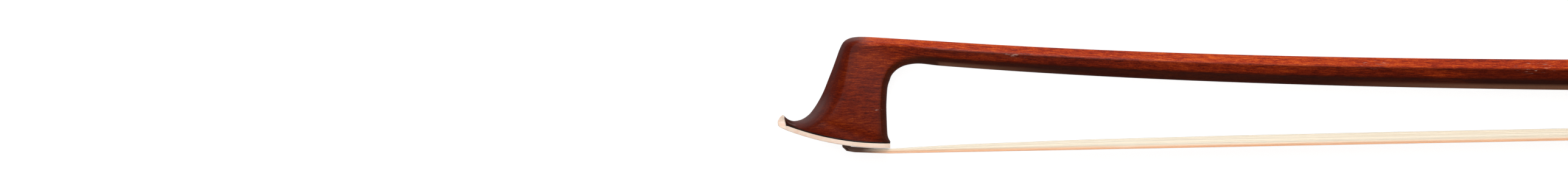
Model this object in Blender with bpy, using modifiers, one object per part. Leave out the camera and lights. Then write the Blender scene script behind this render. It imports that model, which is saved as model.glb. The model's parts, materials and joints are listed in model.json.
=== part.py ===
# A violin bow lying on its side: octagonal stick with its carved head, hair, frog, and screw with button.
# The head points to -X, the stick lies on the +Y side of the hair, and Z runs across the bow's thickness.
# Sizes are in millimetres and are turned into metres where the meshes are made. A place on the bow is
# (s, h, z): s behind the heel of the head, h above the hair's playing face, z aside of the middle plane.

import math

import bmesh
import bpy
import numpy
from mathutils import Matrix, Vector

MM = 0.001

# Overall sizes
BOW_LENGTH = 745.0           # nose of the head to the end of the button
HANDLE_HEIGHT = 17.0         # playing face of the hair to the underside of the handle
HEAD_NOSE = 24.2             # heel of the head to its nose
BUTTON_LENGTH = 14.7
FROG_LENGTH = 48.6           # front of the ferrule to the back of the heel plate
FROG_TO_BUTTON = 10.4        # space that the frog leaves in front of the button

# Clearances
GLUE = 0.1                   # between pieces that are glued or driven together
FIT = 0.3                    # between pieces that turn or stand clear
SLIDING = 0.15               # between the stick's facets and the frog's lining

# Stick
HEAD_D = 5.2                 # across the flats, behind the head
HANDLE_D = 8.6               # across the flats, at the handle
TAPER_START = 120.0          # how far before the heel the taper's logarithm starts
TAPER_TO_LEATHER = 1.0       # the taper ends this far behind the thumb leather
HEAD_TOP_CHAMFER = 0.28      # share of the stick's height that each facet takes near the head
HEAD_LOW_CHAMFER = 0.23
OCTAGON_CHAMFER = 0.2929     # the same share in a regular octagon
MID_HEIGHT = 11.4            # axis of the stick over the hair's face in the middle of the camber
HEAD_RISE = 11.4             # how much higher the axis would start at the heel
HEAD_RISE_LENGTH = 112.0     # length in which that rise drops to 1/e
HANDLE_RISE_LENGTH = 360.0   # length in which the stick climbs from the camber to the handle
STRAIGHT_BEFORE_FROG = 37.0  # straight stretch of handle in front of the ferrule
STICK_RINGS = 26
FIRST_RING = 11.0            # where the stick's regular sections start, behind the heel
NIPPLE_R = 2.9
NIPPLE_LENGTH = 1.5

# Head: each row is one section across the head, from the stick down to the face plate, with its front
# point (s, h), back point (s, h), then ridge half width, front facet depth, front half width, back facet
# depth, back half width and back face half width
HEAD_SECTIONS = (
    (4.0, 24.98, 7.0, 19.55, 1.10, 1.50, 2.68, 1.15, 2.68, 1.50),
    (-1.0, 25.38, 4.2, 19.25, 1.00, 1.50, 2.68, 1.15, 2.70, 1.50),
    (-4.2, 25.62, 2.5, 18.55, 0.85, 1.50, 2.66, 1.15, 2.75, 1.55),
    (-6.6, 25.66, 1.45, 17.70, 0.65, 1.50, 2.64, 1.15, 2.85, 1.65),
    (-8.2, 25.38, 0.85, 16.90, 0.45, 1.60, 2.60, 1.15, 2.95, 1.75),
    (-9.45, 24.60, 0.50, 16.00, 0.30, 1.80, 2.60, 1.15, 3.05, 1.85),
    (-10.3, 23.10, 0.20, 15.20, 0.20, 2.10, 2.65, 1.15, 3.15, 1.95),
    (-11.0, 21.30, 0.00, 14.40, 0.15, 2.30, 2.70, 1.15, 3.30, 2.10),
    (-11.9, 18.95, -0.14, 13.20, 0.12, 2.50, 2.80, 1.15, 3.50, 2.30),
    (-12.95, 16.40, -0.25, 11.80, 0.10, 2.70, 2.95, 1.15, 3.75, 2.55),
    (-14.1, 13.70, -0.33, 10.20, 0.10, 2.90, 3.10, 1.15, 4.00, 2.80),
    (-15.5, 11.20, -0.32, 8.40, 0.12, 3.20, 3.30, 1.15, 4.30, 3.10),
    (-16.9, 9.30, -0.27, 6.60, 0.20, 3.60, 3.55, 1.15, 4.60, 3.40),
    (-18.6, 8.00, -0.18, 5.00, 0.35, 4.20, 3.80, 1.15, 4.80, 3.60),
    (-20.5, 7.60, -0.05, 3.60, 0.60, 5.00, 4.05, 1.10, 5.00, 3.80),
    (-22.3, 8.25, 0.30, 1.90, 1.00, 6.00, 4.25, 1.05, 5.15, 4.00),
    (-22.35, 4.50, 0.35, 0.50, 1.20, 7.50, 4.35, 1.00, 5.20, 4.20),
)
BEAK_S = -22.3               # front end of the wood, behind the plate's nose
FACE_HEEL = 0.3              # heel of the face plate
FACE_H = 1.21                # height of the plate's underside at its heel
FACE_RADIUS = 62.0           # the underside is one long arc
PLATE = 1.0
LINER = 0.4
NOSE_TIP = ((-23.7, 6.15), (-24.15, 6.65), (-24.2, 7.2), (-23.75, 8.3), (-22.95, 9.0), (-22.62, 8.2))
PLATE_PLAN = ((-24.3, 0.5), (-22.4, 1.3), (-18.0, 3.05), (-13.3, 4.35), (-7.0, 4.95), (-0.7, 5.2),
              (0.3, 4.3))
HEAD_MORTISE = (-10.5, -2.6)
HEAD_MORTISE_HALF = 3.2
HEAD_MORTISE_TOP = 9.6
HEAD_PLUG_GAP = 1.65         # space for the hair between the mortise's front wall and the plug

# Hair
HAIR_THIN = 1.2              # thickness of the ribbon where it is held
HAIR_SPREAD = 1.6            # how much thicker the slack ribbon gets between its ends
HAIR_SPREAD_HEAD = 35.0      # length in which it spreads, behind the head
HAIR_SPREAD_FROG = 60.0      # the same in front of the ferrule
HAIR_RINGS = 18

# Winding and thumb leather
WINDING_LENGTH = 75.0
WINDING_TURNS = 12
WINDING_STEPS = 24           # points in one turn
STRIP_THICKNESS = 0.45
STRIP_SPACE = 0.42           # between one strip and the next
LEATHER_LENGTH = 28.0
LEATHER_TO_FERRULE = 5.0
LEATHER_THICKNESS = 0.7

# Frog
FERRULE_LENGTH = 12.5
FERRULE_HALF = 6.4
FERRULE_WALL = 0.5
FERRULE_HEIGHT = 7.0
FERRULE_SIDE = 2.6           # height of its straight sides
FERRULE_CORNER = 0.5
FROG_BOTTOM = -0.5
FOOT_HALF = 6.05
FOOT_HEIGHT = 1.6
WAIST_OVER_HANDLE = 0.2      # half width over the handle's at the hollow
TOP_OVER_HANDLE = 0.75       # half width over the handle's at the top
WAIST_SHARE = 0.62           # height of the hollow, as a share of the frog's height
THROAT_DEPTH = 3.2
THUMB_PROJECTION = 4.2       # behind the ferrule's front
THUMB_THICKNESS = 1.9
SLIDE_HALF = 4.9
PEARL = 0.8
SLIDE_BASE = 1.0
HAIR_PASSAGE = 1.2           # height of the passage over the slide
FROG_MORTISE = 21.4          # behind the ferrule's front
FROG_MORTISE_LENGTH = 7.6
FROG_MORTISE_HALF = 3.3
FROG_MORTISE_TOP = 9.0
FROG_PLUG_GAP = 1.5
EYE_R = 4.9
EYE_PEARL_R = 3.8
EYE_DEPTH = 0.75
EYE_S = 28.0                 # behind the ferrule's front
EYE_H = 10.3
EYE_FLOOR = 3.8              # aside of the middle plane, where the eye's pieces are seated
HEEL_PLATE = 0.6
HEEL_PLATE_FOOT = 9.5        # how far it runs forward under the frog
UNDERSLIDE = 0.4
PIN_R = 0.5
PIN_SIDES = 10

# Screw, eyelet and button
SCREW_R = 1.4
SCREW_LENGTH = 44.0          # of it that runs inside the stick
PIP_LENGTH = 5.0
PIP_R = 0.9
TANG_LENGTH = 8.0
TANG_R = 1.2
PITCH = 0.7
TURNS_LOOSER = 6             # turns that slacken the hair from where it is drawn
TURNS_TIGHTER = 4
EYELET_S = 24.6              # behind the ferrule's front
EYELET_LENGTH = 5.5
EYELET_WALL = 0.6
NECK_R = 1.4
NECK_DEPTH = 5.8
ROOF = 2.0                   # wood left over the eyelet's slot
BUTTON_RING = 3.5
BUTTON_BORE_R = 3.4
BUTTON_PEARL_R = 2.4
BUTTON_PIN_R = 0.4
BUTTON_PIN_DEPTH = 1.2       # of the pins in the ebony core
BUTTON_DISH = 1.2            # depth of the pearl's seat

# Places that follow from those sizes
BUTTON_END = BOW_LENGTH - HEAD_NOSE
STICK_END = BUTTON_END - BUTTON_LENGTH
FROG_BACK = STICK_END - FROG_TO_BUTTON
FERRULE_S = FROG_BACK - FROG_LENGTH
HANDLE_AXIS = HANDLE_HEIGHT + HANDLE_D / 2
STRAIGHT_S = FERRULE_S - STRAIGHT_BEFORE_FROG
LOOSER = PITCH * TURNS_LOOSER
TIGHTER = PITCH * TURNS_TIGHTER
LINING_D = HANDLE_D + 2 * SLIDING
CHANNEL_D = LINING_D + 2 * (UNDERSLIDE + GLUE)
CORNER_SHARE = 0.5 - OCTAGON_CHAMFER
FROG_TOP = HANDLE_AXIS - CORNER_SHARE * HANDLE_D - 0.6
TONGUE_BACK = FERRULE_S + FERRULE_LENGTH + FIT
SLIDE_TOP = FROG_BOTTOM + PEARL + GLUE + SLIDE_BASE
PASSAGE_TOP = SLIDE_TOP + HAIR_PASSAGE
MORTISE_S = FERRULE_S + FROG_MORTISE
EYELET_AT = FERRULE_S + EYELET_S
HEEL_FRONT = FROG_BACK - HEEL_PLATE_FOOT
LEATHER_END = FERRULE_S - LEATHER_TO_FERRULE
WINDING_START = LEATHER_END - LEATHER_LENGTH - FIT - WINDING_LENGTH
TAPER_END = LEATHER_END + TAPER_TO_LEATHER
HAIR_HALF_FROG = FERRULE_HALF - FERRULE_WALL - 0.6

# The origin is under the middle of the whole bow, on the surface that its widest piece lies on
MID_S = (BUTTON_END - HEAD_NOSE) / 2
LEATHER_R = HANDLE_D / 2 / math.cos(math.pi / 8) + FIT + LEATHER_THICKNESS
LOWEST_H = FROG_BOTTOM - 0.1
MID_H = (LOWEST_H + HANDLE_AXIS + LEATHER_R) / 2

LOOKS = {  # colour, roughness, metallic
    "pernambuco": ((0.30, 0.055, 0.018), 0.35, 0.0),
    "ebony": ((0.018, 0.015, 0.014), 0.35, 0.0),
    "ivory": ((0.80, 0.66, 0.47), 0.35, 0.0),
    "maple": ((0.62, 0.44, 0.26), 0.6, 0.0),
    "horsehair": ((0.82, 0.72, 0.52), 0.5, 0.0),
    "thread": ((0.45, 0.06, 0.05), 0.7, 0.0),
    "silver": ((0.78, 0.77, 0.74), 0.25, 1.0),
    "pearl": ((0.74, 0.76, 0.74), 0.2, 0.0),
    "brass": ((0.72, 0.50, 0.20), 0.35, 1.0),
    "steel": ((0.55, 0.55, 0.56), 0.35, 1.0),
    "leather": ((0.045, 0.024, 0.016), 0.6, 0.0),
    "whalebone_dark": ((0.035, 0.028, 0.024), 0.4, 0.0),
    "whalebone_light": ((0.62, 0.47, 0.24), 0.4, 0.0),
}


def clear_scene():
    for old in list(bpy.data.objects):
        bpy.data.objects.remove(old, do_unlink=True)


def new_collection(name, parent=None):
    made = bpy.data.collections.new(name)
    (parent or bpy.context.scene.collection).children.link(made)
    return made


clear_scene()
BOW = new_collection("violin_bow")
CUTTERS = new_collection("violin_bow_cutters")
CUTTERS.hide_render = True


def at(s, h, z=0.0):
    """The world place, in metres, of a point on the bow."""
    return Vector(((s - MID_S) * MM, (h - MID_H) * MM, (z + FERRULE_HALF) * MM))


def make_look(name):
    colour, roughness, metallic = LOOKS[name]
    look = bpy.data.materials.new(name)
    look.use_nodes = True
    shader = look.node_tree.nodes["Principled BSDF"]
    shader.inputs["Base Color"].default_value = (*colour, 1.0)
    shader.inputs["Roughness"].default_value = roughness
    shader.inputs["Metallic"].default_value = metallic
    return look


MATERIALS = {name: make_look(name) for name in LOOKS}


def make_carrier(name, place):
    """An empty that the pieces of one body hang on."""
    carrier = bpy.data.objects.new(name, None)
    carrier.empty_display_size = 10 * MM
    carrier.location = place
    BOW.objects.link(carrier)
    return carrier


STICK_BODY = make_carrier("stick_body", at(0.0, 0.0))
FROG_BODY = make_carrier("frog_body", at(EYELET_AT, HANDLE_AXIS))
BUTTON_BODY = make_carrier("button_body", at(STICK_END, HANDLE_AXIS))


def hang(piece, carrier):
    piece.parent = carrier
    piece.matrix_parent_inverse = Matrix.Translation(carrier.location).inverted()


def add_piece(name, mesh, look=None, carrier=None, smooth=None):
    """Puts a mesh in the bow, or among the cutters where it has no look."""
    piece = bpy.data.objects.new(name, mesh)
    if look is None:
        piece.hide_render = True
        piece.display_type = "WIRE"
        CUTTERS.objects.link(piece)
        return piece
    mesh.materials.append(MATERIALS[look])
    if smooth is not None:
        mesh.shade_smooth()
        mesh.set_sharp_from_angle(angle=math.radians(smooth))
    BOW.objects.link(piece)
    hang(piece, carrier)
    return piece


def join(piece, other, operation="DIFFERENCE"):
    """Cuts a piece with another, or joins or crosses the two."""
    boolean = piece.modifiers.new(operation.lower(), "BOOLEAN")
    boolean.operation = operation
    boolean.object = other
    boolean.solver = "EXACT"
    hang(other, piece.parent)


def loft(name, rings, look=None, carrier=None, smooth=None):
    """A closed body through rings of as many points (s, h, z) each."""
    mesh = bpy.data.meshes.new(name)
    shape = bmesh.new()
    loops = [[shape.verts.new(at(*point)) for point in ring] for ring in rings]
    for near, far in zip(loops, loops[1:]):
        for i in range(len(near)):
            j = (i + 1) % len(near)
            shape.faces.new((near[i], near[j], far[j], far[i]))
    shape.faces.new(loops[0])
    shape.faces.new(loops[-1])
    bmesh.ops.recalc_face_normals(shape, faces=shape.faces)
    shape.to_mesh(mesh)
    shape.free()
    return add_piece(name, mesh, look, carrier, smooth)


# How an outline's plane lies: its turn, and where its middle is, from its distance along the third way
PLANES = {
    "side": ((0.0, 0.0, 0.0), lambda middle: at(0.0, 0.0, middle)),
    "end": ((0.0, -math.pi / 2, 0.0), lambda middle: at(middle, 0.0, 0.0)),
    "plan": ((math.pi / 2, 0.0, 0.0), lambda middle: at(0.0, middle, 0.0)),
}


def outlined(name, outlines, middle, half, look=None, carrier=None, plane="side", smooth=None):
    """A flat outline made thick: (s, h) across z for side, (z, h) along s for end, (s, z) over h for plan.
    A second outline inside the first is a hole."""
    curve = bpy.data.curves.new(name, "CURVE")
    curve.dimensions = "2D"
    curve.fill_mode = "BOTH"
    curve.extrude = half * MM
    for outline in outlines:
        spline = curve.splines.new("POLY")
        spline.points.add(len(outline) - 1)
        for point, (x, y) in zip(spline.points, outline):
            point.co = (x * MM, y * MM, 0.0, 1.0)
        spline.use_cyclic_u = True
    flat = bpy.data.objects.new(name, curve)
    turn, place = PLANES[plane]
    flat.rotation_euler = turn
    flat.location = place(middle)
    bpy.context.scene.collection.objects.link(flat)
    bpy.context.view_layer.update()
    seen = flat.evaluated_get(bpy.context.evaluated_depsgraph_get())
    mesh = bpy.data.meshes.new_from_object(seen)
    mesh.materials.clear()
    mesh.transform(flat.matrix_world)
    bpy.data.objects.remove(flat, do_unlink=True)
    shape = bmesh.new()
    shape.from_mesh(mesh)
    bmesh.ops.remove_doubles(shape, verts=shape.verts, dist=1e-6)
    bmesh.ops.recalc_face_normals(shape, faces=shape.faces)
    shape.to_mesh(mesh)
    shape.free()
    return add_piece(name, mesh, look, carrier, smooth)


def block(name, low, high, look=None, carrier=None):
    """A box between two corners (s, h, z)."""
    mesh = bpy.data.meshes.new(name)
    shape = bmesh.new()
    bmesh.ops.create_cube(shape, size=1.0)
    size = Vector(high) - Vector(low)
    bmesh.ops.scale(shape, vec=size * MM, verts=shape.verts)
    bmesh.ops.translate(shape, vec=at(*((Vector(low) + Vector(high)) / 2)), verts=shape.verts)
    shape.to_mesh(mesh)
    shape.free()
    return add_piece(name, mesh, look, carrier)


def rod(name, start, end, radius, look=None, carrier=None, sides=32):
    """A round bar between two points (s, h, z)."""
    first, last = at(*start), at(*end)
    mesh = bpy.data.meshes.new(name)
    shape = bmesh.new()
    bmesh.ops.create_cone(shape, cap_ends=True, segments=sides, radius1=radius * MM, radius2=radius * MM,
                          depth=(last - first).length)
    turn = (last - first).to_track_quat("Z", "Y").to_matrix().to_4x4()
    shape.transform(Matrix.Translation((first + last) / 2) @ turn)
    shape.to_mesh(mesh)
    shape.free()
    return add_piece(name, mesh, look, carrier, 40 if look else None)


def turned(name, profile, look, carrier, steps=32):
    """A piece turned about the screw's axis, from its outer profile (s, radius), button end first."""
    mesh = bpy.data.meshes.new(name)
    mesh.from_pydata([(radius * MM, 0.0, s * MM) for s, radius in profile],
                     [(i, i + 1) for i in range(len(profile) - 1)], [])
    piece = add_piece(name, mesh, look, carrier)
    piece.rotation_euler = (0.0, math.pi / 2, 0.0)
    piece.location = at(0.0, HANDLE_AXIS)
    screw = piece.modifiers.new("turn", "SCREW")
    screw.axis = "Z"
    screw.steps = screw.render_steps = steps
    screw.use_merge_vertices = True
    screw.merge_threshold = 1e-6
    screw.use_smooth_shade = False
    return piece


def mirrored(half_outline):
    """An outline from its half (along, aside), with the same points on the other side."""
    return list(half_outline) + [(x, -z) for x, z in reversed(half_outline)]


# The stick's shape

def stick_diameter(s):
    growth = math.log((TAPER_START + s) / TAPER_START)
    whole = math.log((TAPER_START + TAPER_END) / TAPER_START)
    return HEAD_D + (HANDLE_D - HEAD_D) * min(1.0, growth / whole)


def stick_axis(s):
    """Height of the stick's axis: it drops from the head, and climbs again to the straight handle."""
    climb = min(1.0, max(0.0, 1.0 - (STRAIGHT_S - s) / HANDLE_RISE_LENGTH))
    climb = climb * climb * (3.0 - 2.0 * climb)
    camber = MID_HEIGHT + HEAD_RISE * math.exp(-s / HEAD_RISE_LENGTH)
    return camber + (HANDLE_AXIS - camber) * climb


def section(front, back, ridge, front_cut, front_half, back_cut, back_half, face_half):
    """Eight corners round a line from the top or front (s, h) to the underside or back (s, h)."""
    front, back = Vector(front), Vector(back)
    along = (back - front).normalized()
    upper, lower = front + along * front_cut, back - along * back_cut
    right = [(*front, ridge), (*upper, front_half), (*lower, back_half), (*back, face_half)]
    return right + [(s, h, -z) for s, h, z in reversed(right)]


def stick_section(s, grow=0.0):
    """The stick's octagon at s, grown all round where a clearance is wanted."""
    d = stick_diameter(s) + 2.0 * grow
    axis = stick_axis(s)
    towards_handle = min(1.0, s / STRAIGHT_S)
    top = HEAD_TOP_CHAMFER + (OCTAGON_CHAMFER - HEAD_TOP_CHAMFER) * towards_handle
    low = HEAD_LOW_CHAMFER + (OCTAGON_CHAMFER - HEAD_LOW_CHAMFER) * towards_handle
    return section((s, axis + d / 2), (s, axis - d / 2), d * (0.5 - top), d * top, d / 2, d * low, d / 2,
                   d * (0.5 - low))


def handle_octagon(d):
    """The lower half of a regular octagon about the handle's axis, as (z, h) from its +z corner."""
    near = CORNER_SHARE * d
    return [(d / 2, HANDLE_AXIS - near), (near, HANDLE_AXIS - d / 2), (-near, HANDLE_AXIS - d / 2),
            (-d / 2, HANDLE_AXIS - near)]


def face_height(s, lift):
    """Height of the face plate's underside at s, lifted into the head."""
    return FACE_H + FACE_RADIUS - math.sqrt((FACE_RADIUS - lift) ** 2 - (s - FACE_HEEL) ** 2)


def face_arc(start, end, lift, count=12):
    return [(s, face_height(s, lift)) for s in numpy.linspace(start, end, count).tolist()]


LINER_LIFT = PLATE + GLUE
WOOD_LIFT = LINER_LIFT + LINER + GLUE


def make_stick():
    head = [section(row[:2], row[2:4], *row[4:]) for row in reversed(HEAD_SECTIONS)]
    body_end = STICK_END - FIT
    run = STRAIGHT_S - FIRST_RING
    spaced = [FIRST_RING + run * (i / STICK_RINGS) ** 1.4 for i in range(STICK_RINGS + 1)]
    rings = head + [stick_section(s) for s in spaced + [TAPER_END, body_end]]
    stick = loft("stick", rings, "pernambuco", STICK_BODY)

    face = face_arc(4.0, -25.0, WOOD_LIFT, 20) + [(-25.0, -3.0), (4.0, -3.0)]
    join(stick, outlined("cut_face", [face], 0.0, 8.0))
    low, high = HEAD_MORTISE
    join(stick, block("cut_head_mortise", (low, -3.0, -HEAD_MORTISE_HALF),
                      (high, HEAD_MORTISE_TOP, HEAD_MORTISE_HALF)))
    half_slot = EYELET_LENGTH / 2 + 0.5
    slot_half = eyelet_half() + FIT
    slot_roof = HANDLE_AXIS + HANDLE_D / 2 - ROOF
    join(stick, block("cut_slot", (EYELET_AT - LOOSER - half_slot, HANDLE_HEIGHT - 2.0, -slot_half),
                      (EYELET_AT + TIGHTER + half_slot, slot_roof, slot_half)))
    nipple_end = STICK_END + NIPPLE_LENGTH
    join(stick, rod("nipple", (body_end - 3.0, HANDLE_AXIS), (nipple_end, HANDLE_AXIS), NIPPLE_R), "UNION")
    front = STICK_END - SCREW_LENGTH
    join(stick, rod("cut_screw_bore", (front, HANDLE_AXIS), (STICK_END + 10.0, HANDLE_AXIS), SCREW_R + FIT))
    join(stick, rod("cut_pip_bore", (front - PIP_LENGTH - FIT, HANDLE_AXIS), (front + 1.0, HANDLE_AXIS),
                    PIP_R + FIT, sides=24))


def eyelet_half():
    return SCREW_R + GLUE + EYELET_WALL


def make_head_fittings():
    low, high = HEAD_MORTISE
    window = ((low, -3.0, -HEAD_MORTISE_HALF), (high, HEAD_MORTISE_TOP, HEAD_MORTISE_HALF))
    plan = [mirrored(PLATE_PLAN)]

    nose_back = [(BEAK_S - GLUE, NOSE_TIP[-1][1] - 0.4), (BEAK_S - GLUE, face_height(BEAK_S, PLATE))]
    side = (face_arc(FACE_HEEL, -23.2, 0.0, 16) + list(NOSE_TIP) + nose_back
            + face_arc(BEAK_S + 0.4, FACE_HEEL, PLATE, 15))
    plate = outlined("head_plate", [side], 0.0, 8.0, "ivory", STICK_BODY)
    join(plate, outlined("plate_plan", plan, 5.0, 6.0, plane="plan"), "INTERSECT")
    join(plate, block("cut_plate_window", *window))

    side = face_arc(FACE_HEEL, BEAK_S, LINER_LIFT, 14) + face_arc(BEAK_S, FACE_HEEL, LINER_LIFT + LINER, 14)
    liner = outlined("head_liner", [side], 0.0, 8.0, "ebony", STICK_BODY)
    join(liner, outlined("liner_plan", plan, 5.0, 6.0, plane="plan"), "INTERSECT")
    join(liner, block("cut_liner_window", *window))

    plug_front = low + HEAD_PLUG_GAP
    plug_back = high - FIT
    plug = [(plug_front, face_height(plug_front, 0.7)), (plug_back, face_height(plug_back, 0.5)),
            (plug_back, 6.9), (plug_front, 6.9)]
    outlined("head_plug", [plug], 0.0, HEAD_MORTISE_HALF - GLUE, "maple", STICK_BODY)
    knot = block("head_hair_knot", (low + 0.4, 7.3, 0.4 - HEAD_MORTISE_HALF),
                 (high - 2.0, HEAD_MORTISE_TOP - FIT, HEAD_MORTISE_HALF - 0.4), "thread", STICK_BODY)
    round_edges(knot, 0.8, 3)


def round_edges(piece, width, segments=2, angle=40):
    bevel = piece.modifiers.new("round", "BEVEL")
    bevel.width = width * MM
    bevel.segments = segments
    bevel.limit_method = "ANGLE"
    bevel.angle_limit = math.radians(angle)


def hair_thickness(s):
    from_head = 1.0 - math.exp(-s / HAIR_SPREAD_HEAD)
    from_frog = 1.0 - math.exp(-(FERRULE_S - s) / HAIR_SPREAD_FROG)
    return HAIR_THIN - 0.1 + HAIR_SPREAD * from_head * from_frog


def make_hair():
    """One ribbon from the knot in the head, over the plug, along the bow and into the frog's mortise."""
    front, half = HEAD_MORTISE[0], HEAD_MORTISE_HALF - FIT
    rows = [  # outer (s, h), inner (s, h), half width
        (front + 0.3, 7.0, front + 1.3, 7.0, half),
        (front + 0.3, 2.6, front + 1.3, 2.9, half),
        (front + 0.35, 1.6, front + 1.6, 1.98, half),
        (front + 1.2, 0.75, front + 2.5, 1.62, half + 0.1),
        (front + 2.9, 0.42, front + 3.9, 1.50, half + 0.4),
        (-3.0, 0.15, -3.0, 1.20, 3.9),
        (0.3, 0.0, 0.3, HAIR_THIN - 0.15, 4.2),
    ]
    for i in range(HAIR_RINGS):
        share = ((i + 0.3) / HAIR_RINGS) ** 1.5
        s = FERRULE_S * share
        rows.append((s, 0.0, s, hair_thickness(s), 4.2 + (HAIR_HALF_FROG - 4.2) * share))
    back = MORTISE_S
    outer, inner = SLIDE_TOP + GLUE, PASSAGE_TOP - 0.15
    narrow = FROG_MORTISE_HALF - FIT
    rows += [
        (FERRULE_S, 0.0, FERRULE_S, HAIR_THIN - 0.1, HAIR_HALF_FROG),
        (FERRULE_S + 9.0, 0.0, FERRULE_S + 9.0, HAIR_THIN - 0.2, HAIR_HALF_FROG),
        (TONGUE_BACK - 0.2, outer, TONGUE_BACK - 0.2, inner, SLIDE_HALF - GLUE),
        (back - 0.05, outer, back - 0.05, inner, narrow),
        (back + 0.9, outer + 0.2, back + 0.15, inner + 0.25, narrow),
        (back + 1.35, outer + 1.1, back + 0.3, inner + 0.7, narrow),
        (back + 1.35, 6.2, back + 0.3, 6.2, narrow),
    ]
    rings = [[(so, ho, w), (si, hi, w), (si, hi, -w), (so, ho, -w)] for so, ho, si, hi, w in rows]
    loft("hair", rings, "horsehair", STICK_BODY)


def octagon_radius(angle, d):
    """Distance from the axis to the side of a regular octagon, d across its flats."""
    quarter = math.pi / 4
    return d / 2 / math.cos((angle + quarter / 2) % quarter - quarter / 2)


def winding_rings(start, lead, width):
    rings = []
    for step in range(WINDING_TURNS * WINDING_STEPS + 1):
        angle = 2.0 * math.pi * (step + 0.5) / WINDING_STEPS
        middle = start + lead * step / WINDING_STEPS
        ring = []
        for aside, lift in ((-1, 0.0), (1, 0.0), (1, STRIP_THICKNESS), (-1, STRIP_THICKNESS)):
            s = middle + aside * width / 2
            radius = octagon_radius(angle, stick_diameter(s) + 2.0 * (FIT + lift))
            ring.append((s, stick_axis(s) + radius * math.cos(angle), radius * math.sin(angle)))
        rings.append(ring)
    return rings


def least_gap(rings):
    """The least distance between corners of a strip that lie over half a turn apart along it."""
    corners = numpy.array(rings)
    apart = WINDING_STEPS // 2 + 1
    least = math.inf
    for i in range(len(corners) - apart):
        far = corners[i + apart:].reshape(-1, 3)
        for corner in corners[i]:
            least = min(least, float(numpy.linalg.norm(far - corner, axis=1).min()))
    return least


def make_winding():
    """Two flat strips laid side by side round the stick, each one unbroken strip."""
    lead = WINDING_LENGTH / (WINDING_TURNS + 1)
    width = lead / 2 - STRIP_SPACE
    for index, (name, look) in enumerate((("winding_dark", "whalebone_dark"),
                                          ("winding_light", "whalebone_light"))):
        start = WINDING_START + width / 2 + index * lead / 2
        rings = winding_rings(start, lead, width)
        loft(name, rings, look, STICK_BODY, smooth=35)
        print(f"{name}: least gap to itself {least_gap(rings):.2f} mm")

    leather_start = LEATHER_END - LEATHER_LENGTH
    leather = rod("thumb_leather", (leather_start, HANDLE_AXIS), (LEATHER_END, HANDLE_AXIS), LEATHER_R,
                  "leather", STICK_BODY, sides=40)
    over = [stick_section(s, FIT) for s in (leather_start - 1.0, LEATHER_END + 1.0)]
    join(leather, loft("cut_leather", over))


# The frog

def ferrule_outline(inset, count=18):
    """The ferrule's D as (z, h): flat below, straight sides, arched over; inset draws it in all round."""
    half = FERRULE_HALF - inset
    bottom = LOWEST_H + inset
    shoulder = LOWEST_H + FERRULE_SIDE
    rise = FERRULE_HEIGHT - FERRULE_SIDE - inset
    corner = FERRULE_CORNER
    arch = [(half * math.cos(a), shoulder + rise * math.sin(a))
            for a in numpy.linspace(0.0, math.pi, count).tolist()]
    return [(corner - half, bottom), (half - corner, bottom), (half, bottom + corner)] + arch + [
        (-half, bottom + corner)]


def frog_outline():
    """The frog's cross section as (z, h): broad foot, hollow sides, and wider again under the stick."""
    foot = FROG_BOTTOM + FOOT_HEIGHT
    waist_h = FROG_BOTTOM + WAIST_SHARE * (FROG_TOP - FROG_BOTTOM)
    waist = HANDLE_D / 2 + WAIST_OVER_HANDLE
    top = HANDLE_D / 2 + TOP_OVER_HANDLE
    right = [(FOOT_HALF, FROG_BOTTOM)]
    for t in numpy.linspace(0.0, 1.0, 8).tolist():
        aside = FOOT_HALF + (waist - FOOT_HALF) * math.sin(t * math.pi / 2)
        right.append((aside, foot + (waist_h - foot) * t))
    for t in numpy.linspace(0.2, 1.0, 5).tolist():
        right.append((waist + (top - waist) * t * t, waist_h + (FROG_TOP - waist_h) * t))
    return right + [(-z, h) for z, h in reversed(right)]


def frog_side():
    """The frog's side as (s, h): foot, throat behind the ferrule, thumb projection, top and back."""
    back = FROG_BACK - HEEL_PLATE - GLUE
    low = LOWEST_H + FERRULE_HEIGHT + FIT
    high = HANDLE_HEIGHT - THUMB_THICKNESS
    mouth = TONGUE_BACK - 1.0
    rise = (high - low) / 2
    throat = [(mouth + THROAT_DEPTH * math.cos(a), low + rise + rise * math.sin(a))
              for a in numpy.linspace(-math.pi / 2, math.pi / 2, 15).tolist()]
    tip = FERRULE_S + THUMB_PROJECTION
    return [(TONGUE_BACK, FROG_BOTTOM), (TONGUE_BACK, low)] + throat + [
        (tip + 1.4, high + 0.5), (tip + 0.4, high + 1.0), (tip, high + 1.7), (tip, FROG_TOP + 1.0),
        (back, FROG_TOP + 1.0), (back, FROG_BOTTOM)]


def pin_places():
    """Each small pin's name, start and end (s, h, z); the first is its head."""
    under = HANDLE_AXIS - LINING_D / 2
    middle = FROG_BOTTOM + HEEL_PLATE / 2
    front = FERRULE_S + THUMB_PROJECTION + 3.5
    pins = [("underslide_pin_front", (front, under - 0.1, 0.0), (0.0, -1.1, 0.0)),
            ("underslide_pin_rear", (FROG_BACK - 6.0, under - 0.1, 0.0), (0.0, -3.0, 0.0)),
            ("heel_pin_upper", (FROG_BACK, HANDLE_HEIGHT - 4.0, 0.0), (-3.2, 0.0, 0.0)),
            ("heel_pin_lower", (FROG_BACK, middle + 4.5, 0.0), (-3.2, 0.0, 0.0)),
            ("heel_pin_left", (FROG_BACK - 6.5, FROG_BOTTOM, FOOT_HALF / 2), (0.0, 3.0, 0.0)),
            ("heel_pin_right", (FROG_BACK - 6.5, FROG_BOTTOM, -FOOT_HALF / 2), (0.0, 3.0, 0.0))]
    return [(name, Vector(start), Vector(start) + Vector(way)) for name, start, way in pins]


def cut_pins(piece, names):
    """Drills a piece for the pins of these names."""
    for name, start, end in pin_places():
        if name in names:
            past = (start - end).normalized()
            join(piece, rod(f"cut_{piece.name}_{name}", start + past, end - past * GLUE, PIN_R + GLUE,
                            sides=PIN_SIDES))


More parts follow.
